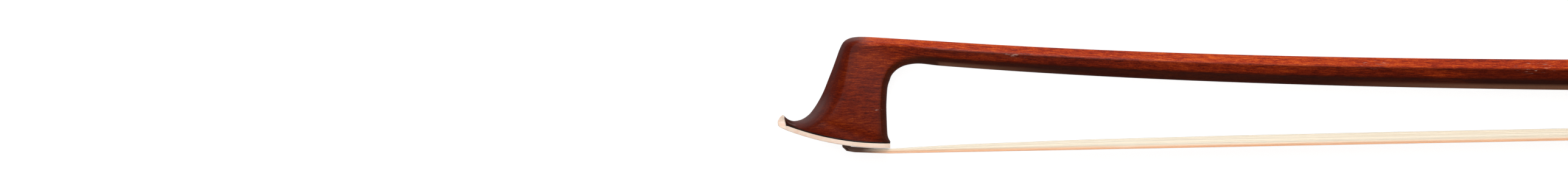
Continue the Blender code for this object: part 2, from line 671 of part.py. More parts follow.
def make_frog():
    frog = outlined("frog", [frog_side()], 0.0, 9.0, "ebony", FROG_BODY)
    length = FROG_BACK - FERRULE_S
    middle = FERRULE_S + length / 2
    join(frog, outlined("frog_section", [frog_outline()], middle, length, plane="end"), "INTERSECT")
    tongue = outlined("tongue", [ferrule_outline(FERRULE_WALL + FIT)], FERRULE_S + FERRULE_LENGTH / 2 + 0.9,
                      FERRULE_LENGTH / 2, plane="end")
    join(frog, tongue, "UNION")

    channel = handle_octagon(CHANNEL_D) + [(-HANDLE_D, HANDLE_AXIS), (HANDLE_D, HANDLE_AXIS)]
    join(frog, outlined("cut_channel", [channel], middle, length, plane="end"))
    deep = FROG_BOTTOM - 3.0
    tongue_under = PASSAGE_TOP + 0.3
    join(frog, block("cut_under_tongue", (FERRULE_S - 2.0, deep, -9.0),
                     (TONGUE_BACK - FIT, tongue_under, 9.0)))
    join(frog, block("cut_slide", (TONGUE_BACK - 1.0, deep, -SLIDE_HALF - GLUE),
                     (HEEL_FRONT, SLIDE_TOP + 0.05, SLIDE_HALF + GLUE)))
    join(frog, block("cut_passage", (TONGUE_BACK - 1.0, deep, -SLIDE_HALF),
                     (MORTISE_S + 1.0, PASSAGE_TOP, SLIDE_HALF)))
    join(frog, block("cut_frog_mortise", (MORTISE_S, deep, -FROG_MORTISE_HALF),
                     (MORTISE_S + FROG_MORTISE_LENGTH, FROG_MORTISE_TOP, FROG_MORTISE_HALF)))
    past, inner = 2.0, HEEL_PLATE + GLUE
    heel = [(HEEL_FRONT - GLUE, deep), (FROG_BACK + past, deep), (FROG_BACK + past, FROG_BOTTOM + inner),
            (HEEL_FRONT - GLUE, FROG_BOTTOM + inner)]
    join(frog, outlined("cut_heel", [heel], 0.0, 9.0))
    join(frog, rod("cut_neck", (EYELET_AT, HANDLE_AXIS - NECK_DEPTH - 5.0 - FIT), (EYELET_AT, HANDLE_AXIS),
                   NECK_R + GLUE, sides=20))
    for side in (1, -1):
        join(frog, rod(f"cut_eye_{side}", (FERRULE_S + EYE_S, EYE_H, side * (EYE_FLOOR - GLUE)),
                       (FERRULE_S + EYE_S, EYE_H, side * 9.0), EYE_R + GLUE, sides=40))
    cut_pins(frog, [name for name, _, _ in pin_places()])


def make_frog_fittings():
    ferrule_mid = FERRULE_S + FERRULE_LENGTH / 2
    outlined("ferrule", [ferrule_outline(0.0), ferrule_outline(FERRULE_WALL)], ferrule_mid,
             FERRULE_LENGTH / 2, "silver", FROG_BODY, plane="end", smooth=35)

    top = PASSAGE_TOP + 0.2
    wedge = [(FERRULE_S + 0.8, HAIR_THIN), (FERRULE_S + 8.4, HAIR_THIN), (FERRULE_S + 8.4, 2.0),
             (FERRULE_S + 0.8, top)]
    outlined("hair_wedge", [wedge], 0.0, HAIR_HALF_FROG, "maple", FROG_BODY)

    plug = ((MORTISE_S + FROG_PLUG_GAP, SLIDE_TOP + GLUE, GLUE - FROG_MORTISE_HALF),
            (MORTISE_S + FROG_MORTISE_LENGTH - FIT, 6.0, FROG_MORTISE_HALF - GLUE))
    block("frog_plug", *plug, "maple", FROG_BODY)
    knot = block("frog_hair_knot", (MORTISE_S + 0.4, 6.5, 0.4 - FROG_MORTISE_HALF),
                 (MORTISE_S + 5.4, FROG_MORTISE_TOP - FIT, FROG_MORTISE_HALF - 0.4), "thread", FROG_BODY)
    round_edges(knot, 0.8, 3)

    low, high = (TONGUE_BACK + GLUE, FROG_BOTTOM), (HEEL_FRONT - 2 * GLUE, FROG_BOTTOM + PEARL)
    block("slide_pearl", (*low, -SLIDE_HALF), (*high, SLIDE_HALF), "pearl", FROG_BODY)
    block("slide_base", (low[0], high[1] + GLUE, -SLIDE_HALF), (high[0], SLIDE_TOP, SLIDE_HALF), "ebony",
          FROG_BODY)

    make_underslide()
    make_heel_plate()
    for side, name in ((1, "left"), (-1, "right")):
        make_eye(side, name)
    for name, start, end in pin_places():
        rod(name, start, end, PIN_R, "silver", FROG_BODY, sides=PIN_SIDES)


def make_underslide():
    """The frog's silver lining, bent to the stick's three lower facets."""
    ends = []
    for d in (LINING_D, LINING_D + 2 * UNDERSLIDE):
        drop = HANDLE_AXIS - FROG_TOP
        aside = d / 2 * math.sqrt(2.0) - drop
        near = CORNER_SHARE * d
        ends.append([(aside, FROG_TOP), (near, HANDLE_AXIS - d / 2), (-near, HANDLE_AXIS - d / 2),
                     (-aside, FROG_TOP)])
    start = FERRULE_S + THUMB_PROJECTION
    lining = outlined("underslide", [ends[1] + ends[0][::-1]], (start + FROG_BACK) / 2,
                      (FROG_BACK - start) / 2, "silver", FROG_BODY, plane="end")
    join(lining, rod("cut_underslide_neck", (EYELET_AT, FROG_TOP - 5.0), (EYELET_AT, HANDLE_AXIS),
                     NECK_R + GLUE, sides=20))
    cut_pins(lining, ("underslide_pin_front", "underslide_pin_rear"))


def make_heel_plate():
    """The silver plate bent round the frog's back and the rear of its foot."""
    low, inside = FROG_BOTTOM, FROG_BOTTOM + HEEL_PLATE
    high = HANDLE_AXIS - LINING_D / 2 - UNDERSLIDE - GLUE
    bent = [(HEEL_FRONT, low), (FROG_BACK, low), (FROG_BACK, high), (FROG_BACK - HEEL_PLATE, high),
            (FROG_BACK - HEEL_PLATE, inside), (HEEL_FRONT, inside)]
    plate = outlined("heel_plate", [bent], 0.0, 9.0, "silver", FROG_BODY)
    join(plate, outlined("heel_section", [frog_outline()], FROG_BACK - 10.0, 20.0, plane="end"), "INTERSECT")
    cut_pins(plate, ("heel_pin_upper", "heel_pin_lower", "heel_pin_left", "heel_pin_right"))


def make_eye(side, name):
    """A pearl dot in a silver ring, let into the side of the frog."""
    s = FERRULE_S + EYE_S
    inner, outer = side * EYE_FLOOR, side * (EYE_FLOOR + EYE_DEPTH)
    rod(f"eye_pearl_{name}", (s, EYE_H, inner), (s, EYE_H, outer - side * 0.05), EYE_PEARL_R, "pearl",
        FROG_BODY, sides=36)
    ring = rod(f"eye_ring_{name}", (s, EYE_H, inner), (s, EYE_H, outer), EYE_R, "silver", FROG_BODY,
               sides=36)
    join(ring, rod(f"cut_eye_ring_{name}", (s, EYE_H, inner - side), (s, EYE_H, outer + side),
                   EYE_PEARL_R + GLUE, sides=36))


# Screw, eyelet and button

def make_eyelet():
    """The brass nut in the frog's top that the screw draws along."""
    half = eyelet_half()
    seat = HANDLE_AXIS - HANDLE_D / 2 + 0.4
    roof = HANDLE_AXIS + HANDLE_D / 2 - ROOF - FIT
    eyelet = block("eyelet", (EYELET_AT - EYELET_LENGTH / 2, seat, -half),
                   (EYELET_AT + EYELET_LENGTH / 2, roof, half), "brass", FROG_BODY)
    join(eyelet, rod("eyelet_neck", (EYELET_AT, HANDLE_AXIS - NECK_DEPTH - 5.0), (EYELET_AT, seat + 0.5),
                     NECK_R, sides=20), "UNION")
    join(eyelet, rod("cut_eyelet", (EYELET_AT - 9.0, HANDLE_AXIS), (EYELET_AT + 9.0, HANDLE_AXIS),
                     SCREW_R + GLUE))


def make_screw():
    front = STICK_END - SCREW_LENGTH + FIT
    tang = STICK_END + NIPPLE_LENGTH + TANG_LENGTH
    turned("screw", [(tang, 0.0), (tang, TANG_R), (STICK_END + NIPPLE_LENGTH, TANG_R),
                     (STICK_END + NIPPLE_LENGTH, SCREW_R), (front, SCREW_R), (front, PIP_R),
                     (front - PIP_LENGTH, PIP_R), (front - PIP_LENGTH, 0.0)], "steel", BUTTON_BODY)


def octagon_prism(name, start, end, look=None, carrier=None):
    def ring(s):
        d = HANDLE_D
        return section((s, HANDLE_AXIS + d / 2), (s, HANDLE_AXIS - d / 2), d * CORNER_SHARE,
                       d * OCTAGON_CHAMFER, d / 2, d * OCTAGON_CHAMFER, d / 2, d * CORNER_SHARE)
    return loft(name, [ring(start), ring(end)], look, carrier)


def make_button():
    front, back = STICK_END, BUTTON_END
    core_start, core_end = front + BUTTON_RING + GLUE, back - BUTTON_RING - GLUE
    inside = STICK_END + NIPPLE_LENGTH + FIT
    dish = back - BUTTON_DISH
    core = octagon_prism("button", core_start, core_end, "ebony", BUTTON_BODY)
    join(core, rod("button_spigots", (inside, HANDLE_AXIS), (dish - GLUE, HANDLE_AXIS), BUTTON_BORE_R),
         "UNION")
    join(core, rod("cut_button", (inside - 1.0, HANDLE_AXIS), (inside + TANG_LENGTH, HANDLE_AXIS),
                   TANG_R + GLUE, sides=24))

    ring = octagon_prism("button_front_ring", front, front + BUTTON_RING, "silver", BUTTON_BODY)
    join(ring, rod("cut_front_ring", (front - 1.0, HANDLE_AXIS), (core_start + 1.0, HANDLE_AXIS),
                   BUTTON_BORE_R + GLUE))
    rear = octagon_prism("button_rear_ring", back - BUTTON_RING, back, "silver", BUTTON_BODY)
    join(rear, rod("cut_rear_ring", (core_end - 1.0, HANDLE_AXIS), (dish, HANDLE_AXIS),
                   BUTTON_BORE_R + GLUE))
    join(rear, rod("cut_rear_dish", (dish - 1.0, HANDLE_AXIS), (back + 1.0, HANDLE_AXIS),
                   BUTTON_PEARL_R + GLUE))
    rod("button_pearl", (dish + GLUE, HANDLE_AXIS), (back - 0.15, HANDLE_AXIS), BUTTON_PEARL_R, "pearl",
        BUTTON_BODY)

    ends = ((ring, front + BUTTON_RING - 1.0, "front"), (rear, back - BUTTON_RING + 1.0, "rear"))
    pin_foot = BUTTON_BORE_R - BUTTON_PIN_DEPTH
    for ring_piece, s, where in ends:
        for side, name in ((1, "left"), (-1, "right")):
            rod(f"button_pin_{where}_{name}", (s, HANDLE_AXIS, side * HANDLE_D / 2),
                (s, HANDLE_AXIS, side * pin_foot), BUTTON_PIN_R, "silver", BUTTON_BODY, sides=PIN_SIDES)
            for piece in (ring_piece, core):
                join(piece, rod(f"cut_{piece.name}_{where}_{name}",
                                (s, HANDLE_AXIS, side * (HANDLE_D / 2 + 1.0)),
                                (s, HANDLE_AXIS, side * (pin_foot - GLUE)), BUTTON_PIN_R + GLUE,
                                sides=PIN_SIDES))


make_stick()
make_head_fittings()
make_hair()
make_winding()
make_frog()
make_frog_fittings()
make_eyelet()
make_screw()
make_button()
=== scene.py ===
import json
import math
import random

import bmesh
import bpy
from mathutils import Matrix, Vector


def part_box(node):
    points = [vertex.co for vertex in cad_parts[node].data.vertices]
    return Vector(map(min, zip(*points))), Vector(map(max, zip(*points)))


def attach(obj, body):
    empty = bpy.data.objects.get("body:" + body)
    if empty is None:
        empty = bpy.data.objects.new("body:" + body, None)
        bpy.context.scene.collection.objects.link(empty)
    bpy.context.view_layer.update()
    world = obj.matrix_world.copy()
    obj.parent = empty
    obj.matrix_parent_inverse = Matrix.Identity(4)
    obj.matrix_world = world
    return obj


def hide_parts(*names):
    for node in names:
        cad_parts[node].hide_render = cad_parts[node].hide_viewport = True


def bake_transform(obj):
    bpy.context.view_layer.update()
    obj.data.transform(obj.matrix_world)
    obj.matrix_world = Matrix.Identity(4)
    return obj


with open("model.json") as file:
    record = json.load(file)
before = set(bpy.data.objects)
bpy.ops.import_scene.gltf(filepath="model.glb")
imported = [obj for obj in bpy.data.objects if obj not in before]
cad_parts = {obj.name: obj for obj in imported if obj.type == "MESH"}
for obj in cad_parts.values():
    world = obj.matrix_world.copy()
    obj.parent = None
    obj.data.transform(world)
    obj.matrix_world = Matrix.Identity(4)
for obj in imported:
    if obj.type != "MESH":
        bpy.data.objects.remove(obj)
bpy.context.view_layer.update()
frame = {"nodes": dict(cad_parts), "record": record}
nodes = frame["nodes"]
mm = 0.001

# Where the bow's own measures start: s runs back from the heel of the head, h up from the hair's face,
# z out from the middle plane, all in millimetres
plateHeel = 0.3
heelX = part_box("head_plate")[1].x - plateHeel * mm
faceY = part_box("hair")[0].y
middleZ = sum(corner.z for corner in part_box("stick")) / 2
ferruleS = (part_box("ferrule")[0].x - heelX) / mm
stickEnd = (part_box("button_front_ring")[0].x - heelX) / mm
handleAxis = (sum(corner.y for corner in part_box("button")) / 2 - faceY) / mm
handleWidth = (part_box("button")[1].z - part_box("button")[0].z) / mm


def spot(s, h, z=0.0):
    return Vector((heelX + s * mm, faceY + h * mm, middleZ + z * mm))


# Shader values that add, multiply and so on as Python numbers do

class Value:
    def __init__(self, look, socket):
        self.look = look
        self.socket = socket

    def reckon(self, operation, first, second):
        return self.look.node("Math", {"operation": operation}, {0: first, 1: second})

    def __add__(self, other):
        return self.reckon("ADD", self, other)

    def __sub__(self, other):
        return self.reckon("SUBTRACT", self, other)

    def __rsub__(self, other):
        return self.reckon("SUBTRACT", other, self)

    def __mul__(self, other):
        return self.reckon("MULTIPLY", self, other)

    __radd__ = __add__
    __rmul__ = __mul__


class Look:
    # One material, or the world. node() makes every node in it: its type, its settings, then its sockets
    def __init__(self, name, constants=None, world=None):
        self.material = world or bpy.data.materials.new(name)
        self.material.use_nodes = True
        self.tree = self.material.node_tree
        self.shader = self.tree.nodes.get("Principled BSDF")
        self.set(constants or {})

    def node(self, kind, settings=None, sockets=None, output=0):
        made = self.tree.nodes.new("ShaderNode" + kind)
        for name, value in (settings or {}).items():
            if name == "stops":
                elements = made.color_ramp.elements
                elements.remove(elements[1])
                elements[0].position = value[0][0]
                for position, _ in value[1:]:
                    elements.new(position)
                for element, (_, colour) in zip(elements, value):
                    element.color = (*colour, 1.0)
            else:
                setattr(made, name, value)
        for name, value in (sockets or {}).items():
            self.feed(made.inputs[name], value)
        return Value(self, made.outputs[output])

    def feed(self, socket, value):
        if isinstance(value, Value):
            self.tree.links.new(value.socket, socket)
        elif isinstance(value, (tuple, list)) and socket.type == "RGBA":
            socket.default_value = (*value, 1.0)
        else:
            socket.default_value = value

    def set(self, values):
        for name, value in values.items():
            self.feed(self.shader.inputs[name], value)

    def place(self, stretch=(1.0, 1.0, 1.0), attribute=None, turn=(0.0, 0.0, 0.0), centre=(0.0, 0.0, 0.0)):
        # Object coordinates in millimetres, or an attribute that is in millimetres already
        if attribute:
            start = self.node("Attribute", {"attribute_name": attribute}, output="Vector")
            scale = stretch
        else:
            start = self.node("TexCoord", output="Object")
            scale = tuple(part / mm for part in stretch)
        moved = self.node("VectorMath", {"operation": "SUBTRACT"}, {0: start, 1: tuple(centre)})
        return self.node("Mapping", {}, {"Vector": moved, "Rotation": turn, "Scale": scale})

    def amount(self, attribute):
        return self.node("Attribute", {"attribute_name": attribute}, output="Fac")

    def clouds(self, where, scale=1.0, detail=4.0, roughness=0.5, distortion=0.0):
        return self.node("TexNoise", {}, {"Vector": where, "Scale": scale, "Detail": detail,
                                          "Roughness": roughness, "Distortion": distortion}, "Fac")

    def cells(self, where, scale):
        # how far each point is from the edge of its cell
        return self.node("TexVoronoi", {"feature": "DISTANCE_TO_EDGE"}, {"Vector": where, "Scale": scale},
                         "Distance")

    def step(self, value, low, high, first=0.0, last=1.0):
        return self.node("MapRange", {"interpolation_type": "SMOOTHSTEP"},
                         {"Value": value, "From Min": low, "From Max": high, "To Min": first,
                          "To Max": last})

    def blend(self, share, first, second):
        # sockets 6 and 7 and output 2 of the Mix node are its colours
        return self.node("Mix", {"data_type": "RGBA"}, {0: share, 6: first, 7: second}, 2)

    def ramp(self, tone, stops):
        return self.node("ValToRGB", {"stops": stops}, {"Fac": tone}, "Color")

    def along(self, axis, **where):
        return self.node("SeparateXYZ", {}, {0: self.place(**where)}, axis)

    def bump(self, height, depth):
        # depth in millimetres from height 0 to 1
        self.set({"Normal": self.node("Bump", {}, {"Height": height, "Distance": depth * mm})})


# Mesh helpers

def added(name, data):
    made = bpy.data.objects.new(name, data)
    bpy.context.scene.collection.objects.link(made)
    return made


def asMesh(name, shape):
    mesh = bpy.data.meshes.new(name)
    shape.to_mesh(mesh)
    shape.free()
    return mesh


def finish(name, shape, look, body, replaced, smoothUnder, weighted=False):
    # smoothUnder is the angle in degrees from which edges stay sharp
    bmesh.ops.recalc_face_normals(shape, faces=shape.faces)
    mesh = asMesh(name, shape)
    mesh.shade_smooth()
    mesh.set_sharp_from_angle(angle=math.radians(smoothUnder))
    mesh.materials.append(look.material)
    piece = added(name, mesh)
    if weighted:
        piece.modifiers.new("evenNormals", "WEIGHTED_NORMAL").keep_sharp = True
    if body:
        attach(piece, body)
    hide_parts(*replaced)
    return piece


def growAlong(shape, rings, closed=False):
    # One loop of vertices drawn out through rings of points (s, h, z), with both ends closed
    loop = bmesh.ops.create_circle(shape, segments=len(rings[0]), radius=1.0)["verts"]
    start = list(loop)
    for vertex, place in zip(start, rings[0]):
        vertex.co = spot(*place)
    first = [shape.edges.get((start[i], start[(i + 1) % len(start)])) for i in range(len(start))]
    edges, current = first, start
    loops = [start]
    for ring in rings[1:]:
        grown = bmesh.ops.extrude_edge_only(shape, edges=edges)["geom"]
        partner = {}
        for edge in (part for part in grown if isinstance(part, bmesh.types.BMVert)):
            for link in edge.link_edges:
                other = link.other_vert(edge)
                if other in current:
                    partner[other] = edge
        current = [partner[vertex] for vertex in current]
        for vertex, place in zip(current, ring):
            vertex.co = spot(*place)
        edges = [shape.edges.get((current[i], current[(i + 1) % len(current)]))
                 for i in range(len(current))]
        loops.append(current)
    if not closed:
        bmesh.ops.edgeloop_fill(shape, edges=first)
        bmesh.ops.edgeloop_fill(shape, edges=edges)
    return loops


def smoothRows(rows, steps):
    # rows of numbers, with more put between them on a smooth curve through them all
    made = []
    for i in range(len(rows) - 1):
        around = [rows[min(max(i + k, 0), len(rows) - 1)] for k in (-1, 0, 1, 2)]
        for j in range(steps):
            t = j / steps
            made.append([b + 0.5 * t * (c - a + t * (2 * a - 5 * b + 4 * c - d + t * (3 * b - a - 3 * c + d)))
                         for a, b, c, d in zip(*around)])
    return made + [list(rows[-1])]


def softCorner(before, corner, after, reach, count):
    # count points round a corner, from reach before it to reach behind it
    start = corner + (before - corner).normalized() * min(reach, (before - corner).length * 0.48)
    end = corner + (after - corner).normalized() * min(reach, (after - corner).length * 0.48)
    shares = [i / (count - 1) for i in range(count)]
    return [start.lerp(corner, t).lerp(corner.lerp(end, t), t) for t in shares]


def softRing(front, back, half, reaches, counts):
    # A ring across a body: half holds the corners (depth from the front, aside) of one side
    front, back = Vector(front), Vector(back)
    along = (back - front).normalized()
    corners = [Vector(corner) for corner in half]
    flip = Vector((1.0, -1.0))
    around = [corners[0] * flip] + corners + [corners[-1] * flip]
    side = []
    for i, (reach, count) in enumerate(zip(reaches, counts)):
        side += softCorner(around[i], around[i + 1], around[i + 2], reach, count)
    right = [(*(front + along * depth), aside) for depth, aside in side]
    return right + [(s, h, -z) for s, h, z in reversed(right)]


def carved(shape, cuts=(), joined=()):
    # Cuts and joins whole bodies, and gives the result as a new bmesh
    main = added("carvedBody", asMesh("carvedBody", shape))
    tools = []
    for operation, group in (("UNION", joined), ("DIFFERENCE", cuts)):
        for tool in group:
            tools.append(added("tool", asMesh("tool", tool)))
            step = main.modifiers.new("step", "BOOLEAN")
            step.operation, step.solver, step.object = operation, "EXACT", tools[-1]
    bpy.context.view_layer.update()
    seen = main.evaluated_get(bpy.context.evaluated_depsgraph_get())
    result = bmesh.new()
    result.from_mesh(bpy.data.meshes.new_from_object(seen))
    for made in [main] + tools:
        bpy.data.objects.remove(made, do_unlink=True)
    return result


def blockShape(lowest, highest):
    shape = bmesh.new()
    size = Vector(highest) - Vector(lowest)
    bmesh.ops.create_cube(shape, size=1.0)
    bmesh.ops.scale(shape, vec=size * mm, verts=shape.verts)
    bmesh.ops.translate(shape, vec=spot(*((Vector(lowest) + Vector(highest)) / 2)), verts=shape.verts)
    return shape


def barShape(start, end, radius, sides):
    # A round bar along the screw's axis, with start and end from the stick's end
    shape = bmesh.new()
    bmesh.ops.create_cone(shape, cap_ends=True, segments=sides, radius1=radius * mm, radius2=radius * mm,
                          depth=(end - start) * mm)
    middle = spot(stickEnd + (start + end) / 2, handleAxis)
    shape.transform(Matrix.Translation(middle) @ Matrix.Rotation(math.pi / 2, 4, "Y"))
    return shape


# The stick and its head: one piece of reddish wood

stickShape = {
    "headWidth": 5.2, "taperStart": 120.0, "taperEnd": ferruleS - 4.0,     # octagon across its flats
    "topShare": 0.31, "lowShare": 0.30, "octagonShare": 0.2929,            # share that each chamfer takes
    "camberHeight": 11.4, "rise": 11.4, "riseLength": 112.0,
    "climbEnd": ferruleS - 37.0, "climbLength": 360.0,
    "firstRing": 11.0, "rings": 76, "arris": 0.34,
    "faceHeight": 1.21, "faceRadius": 62.0, "plate": 1.0, "liner": 0.27,
    "mortise": (-10.5, -2.6), "mortiseHalf": 3.2, "mortiseTop": 9.6,
    "seatCuts": 30, "seatStep": 0.8,
    # room for the eyelet before, behind and round it, and below the screw's axis
    "slot": {"before": 4.7, "behind": 3.3, "round": 0.3, "below": 6.3},
    # start and end from the stick's end, radius and sides of the round nipple and of the screw's holes
    "nipple": (-3.3, 1.5, 2.9, 32), "bore": (-44.0, 10.0, 1.7, 32), "pip": (-49.3, -43.0, 1.2, 24),
}
# front s, h, back s, h, then ridge half, front depth, front half, back depth, back half, back face half
# and last how softly the front corner is rounded
headRows = (
    (4.0, 24.98, 7.0, 19.55, 1.10, 1.50, 2.68, 1.15, 2.68, 1.50, 0.12),
    (-1.0, 25.38, 4.2, 19.25, 1.00, 1.50, 2.68, 1.15, 2.70, 1.50, 0.15),
    (-4.2, 25.62, 2.5, 18.55, 0.85, 1.45, 2.66, 1.15, 2.75, 1.55, 0.25),
    (-6.6, 25.66, 1.45, 17.70, 0.65, 1.35, 2.64, 1.15, 2.85, 1.65, 0.5),
    (-8.2, 25.38, 0.85, 16.90, 0.45, 1.30, 2.60, 1.15, 2.95, 1.75, 0.8),
    (-9.45, 24.60, 0.50, 16.00, 0.30, 1.30, 2.60, 1.15, 3.05, 1.85, 1.1),
    (-10.3, 23.10, 0.20, 15.20, 0.20, 1.40, 2.65, 1.15, 3.15, 1.95, 1.3),
    (-11.0, 21.30, 0.00, 14.40, 0.15, 1.55, 2.70, 1.15, 3.30, 2.10, 1.5),
    (-11.9, 18.95, -0.14, 13.20, 0.12, 1.75, 2.80, 1.15, 3.50, 2.30, 1.7),
    (-12.95, 16.40, -0.25, 11.80, 0.10, 1.95, 2.90, 1.15, 3.75, 2.55, 1.9),
    (-14.1, 13.70, -0.33, 10.20, 0.10, 2.15, 3.00, 1.15, 4.00, 2.80, 2.0),
    (-15.5, 11.20, -0.32, 7.60, 0.12, 2.25, 3.10, 1.15, 4.40, 3.20, 2.0),
    (-16.9, 9.30, -0.20, 4.00, 0.18, 2.25, 3.15, 1.15, 4.90, 3.70, 1.9),
    (-17.8, 8.50, 0.30, 1.30, 0.24, 2.15, 3.10, 1.05, 5.10, 4.10, 1.7),
    (-18.7, 7.95, -6.0, 0.60, 0.32, 1.95, 2.90, 0.60, 4.95, 4.60, 1.5),
    (-19.6, 7.65, -12.5, 1.00, 0.42, 1.70, 2.60, 0.30, 4.35, 4.20, 1.3),
    (-20.6, 7.53, -17.0, 1.50, 0.52, 1.45, 2.15, 0.20, 3.30, 3.20, 1.0),
    (-21.4, 7.70, -19.5, 3.00, 0.60, 1.20, 1.75, 0.20, 2.20, 2.15, 0.8),
    (-22.15, 8.12, -21.3, 5.00, 0.55, 0.95, 1.35, 0.20, 1.65, 1.60, 0.6),
    (-22.78, 8.78, -22.37, 6.70, 0.45, 0.55, 0.90, 0.10, 1.15, 1.10, 0.35),
)


def stickWidth(s):
    start = stickShape["taperStart"]
    share = math.log((start + s) / start) / math.log((start + stickShape["taperEnd"]) / start)
    return stickShape["headWidth"] + (handleWidth - stickShape["headWidth"]) * min(1.0, share)


def stickAxis(s):
    climb = min(1.0, max(0.0, 1.0 - (stickShape["climbEnd"] - s) / stickShape["climbLength"]))
    climb = climb * climb * (3.0 - 2.0 * climb)
    camber = stickShape["camberHeight"] + stickShape["rise"] * math.exp(-s / stickShape["riseLength"])
    return camber + (handleAxis - camber) * climb


def stickRow(s):
    width, axis = stickWidth(s), stickAxis(s)
    along = min(1.0, s / stickShape["climbEnd"])
    top, low = (share + (stickShape["octagonShare"] - share) * along
                for share in (stickShape["topShare"], stickShape["lowShare"]))
    return (s, axis + width / 2, s, axis - width / 2, width * (0.5 - top), width * top, width / 2,
            width * low, width / 2, width * (0.5 - low), stickShape["arris"])


def stickRing(row):
    front, back = Vector(row[:2]), Vector(row[2:4])
    depth = (back - front).length
    half = ((0.0, row[4]), (row[5], row[6]), (depth - row[7], row[8]), (depth, row[9]))
    arris = stickShape["arris"]
    return softRing(front, back, half, (arris, row[10], arris * 1.2, arris * 1.2), (3, 9, 4, 4))


def faceHeight(s, lift):
    return stickShape["faceHeight"] + stickShape["faceRadius"] - math.sqrt(
        (stickShape["faceRadius"] - lift) ** 2 - (s - plateHeel) ** 2)


def nearest(place, line):
    # Distance in millimetres from a place (s, h) to a line of such places
    best = 1e9
    for start, end in zip(line, line[1:]):
        way = end - start
        share = max(0.0, min(1.0, (place - start).dot(way) / max(way.length_squared, 1e-9)))
        best = min(best, (place - start - way * share).length)
    return best


def note(mesh, name, kind, values):
    # Writes one value for each vertex into a named attribute
    made = mesh.attributes.new(name, kind, "POINT")
    for place, value in zip(made.data, values):
        if kind == "FLOAT":
            place.value = value
        else:
            place.vector = value


def addGrain(mesh, frontLine, backLine):
    # The wood's own coordinates, unbent, how far up the stick's side each point is, from -1 to 1, and how far
    # it is from the head's front and back edges
    places = [(vertex.co - spot(0, 0)) / mm for vertex in mesh.vertices]
    note(mesh, "upSide", "FLOAT", [
        (p.y - stickAxis(max(p.x, 0.0))) / stickWidth(max(p.x, 0.0)) * 2.0 for p in places])
    note(mesh, "grain", "FLOAT_VECTOR", [
        (p.x, p.y - (stickAxis(p.x) - stickAxis(0.0) if p.x > 0.0 else 0.0), p.z) for p in places])
    for name, line in (("fromFront", frontLine), ("fromBack", backLine)):
        note(mesh, name, "FLOAT", [nearest(p.to_2d(), line) if p.x < 40.0 else 30.0 for p in places])


def windowCut():
    low, high = stickShape["mortise"]
    half = stickShape["mortiseHalf"]
    return blockShape((low, -3.0, -half), (high, stickShape["mortiseTop"], half))


wood = {
    # places of the tone's ramp and their colours: on the side, and on the upper facets, painted lighter as
    # painted light falling from above
    "side": ((0.41, (0.062, 0.0036, 0.0004)), (0.49, (0.140, 0.0098, 0.0008)),
             (0.56, (0.225, 0.0210, 0.0014)), (0.65, (0.360, 0.0580, 0.0050))),
    "upper": ((0.41, (0.19, 0.009, 0.001)), (0.49, (0.42, 0.031, 0.002)), (0.60, (0.70, 0.110, 0.010))),
    # painted light on the line below: after shade, the next colour is painted shade on the lower chamfer, and
    # the last a painted reflection of the pale floor
    "shade": (0.040, 0.0030, 0.0008), "handDirt": (0.016, 0.0026, 0.0012), "rosin": (0.25, 0.112, 0.066),
    # back, on the line below, is painted shade on the head's throat and heel chamfer
    "front": (0.060, 0.0062, 0.0036), "face": (0.055, 0.0045, 0.0010), "back": (0.032, 0.0070, 0.0028),
    "pore": (0.030, 0.0040, 0.0015), "bare": (0.70, 0.46, 0.36),
    "palest": 68.0, "paleReach": 60.0,                    # where the stick is least darkened, and how far
    # bare marks in the varnish: s, h, z and reach
    "marks": ((28.6, 21.3, 2.4, 1.8), (106.4, 17.6, 2.4, 2.2), (141.7, 16.2, 2.9, 2.6),
              (-2.1, 9.5, 3.9, 0.8)),
    "gloss": 0.02, "upperGloss": 0.10, "beakGloss": 0.45, "depth": 0.004,
}


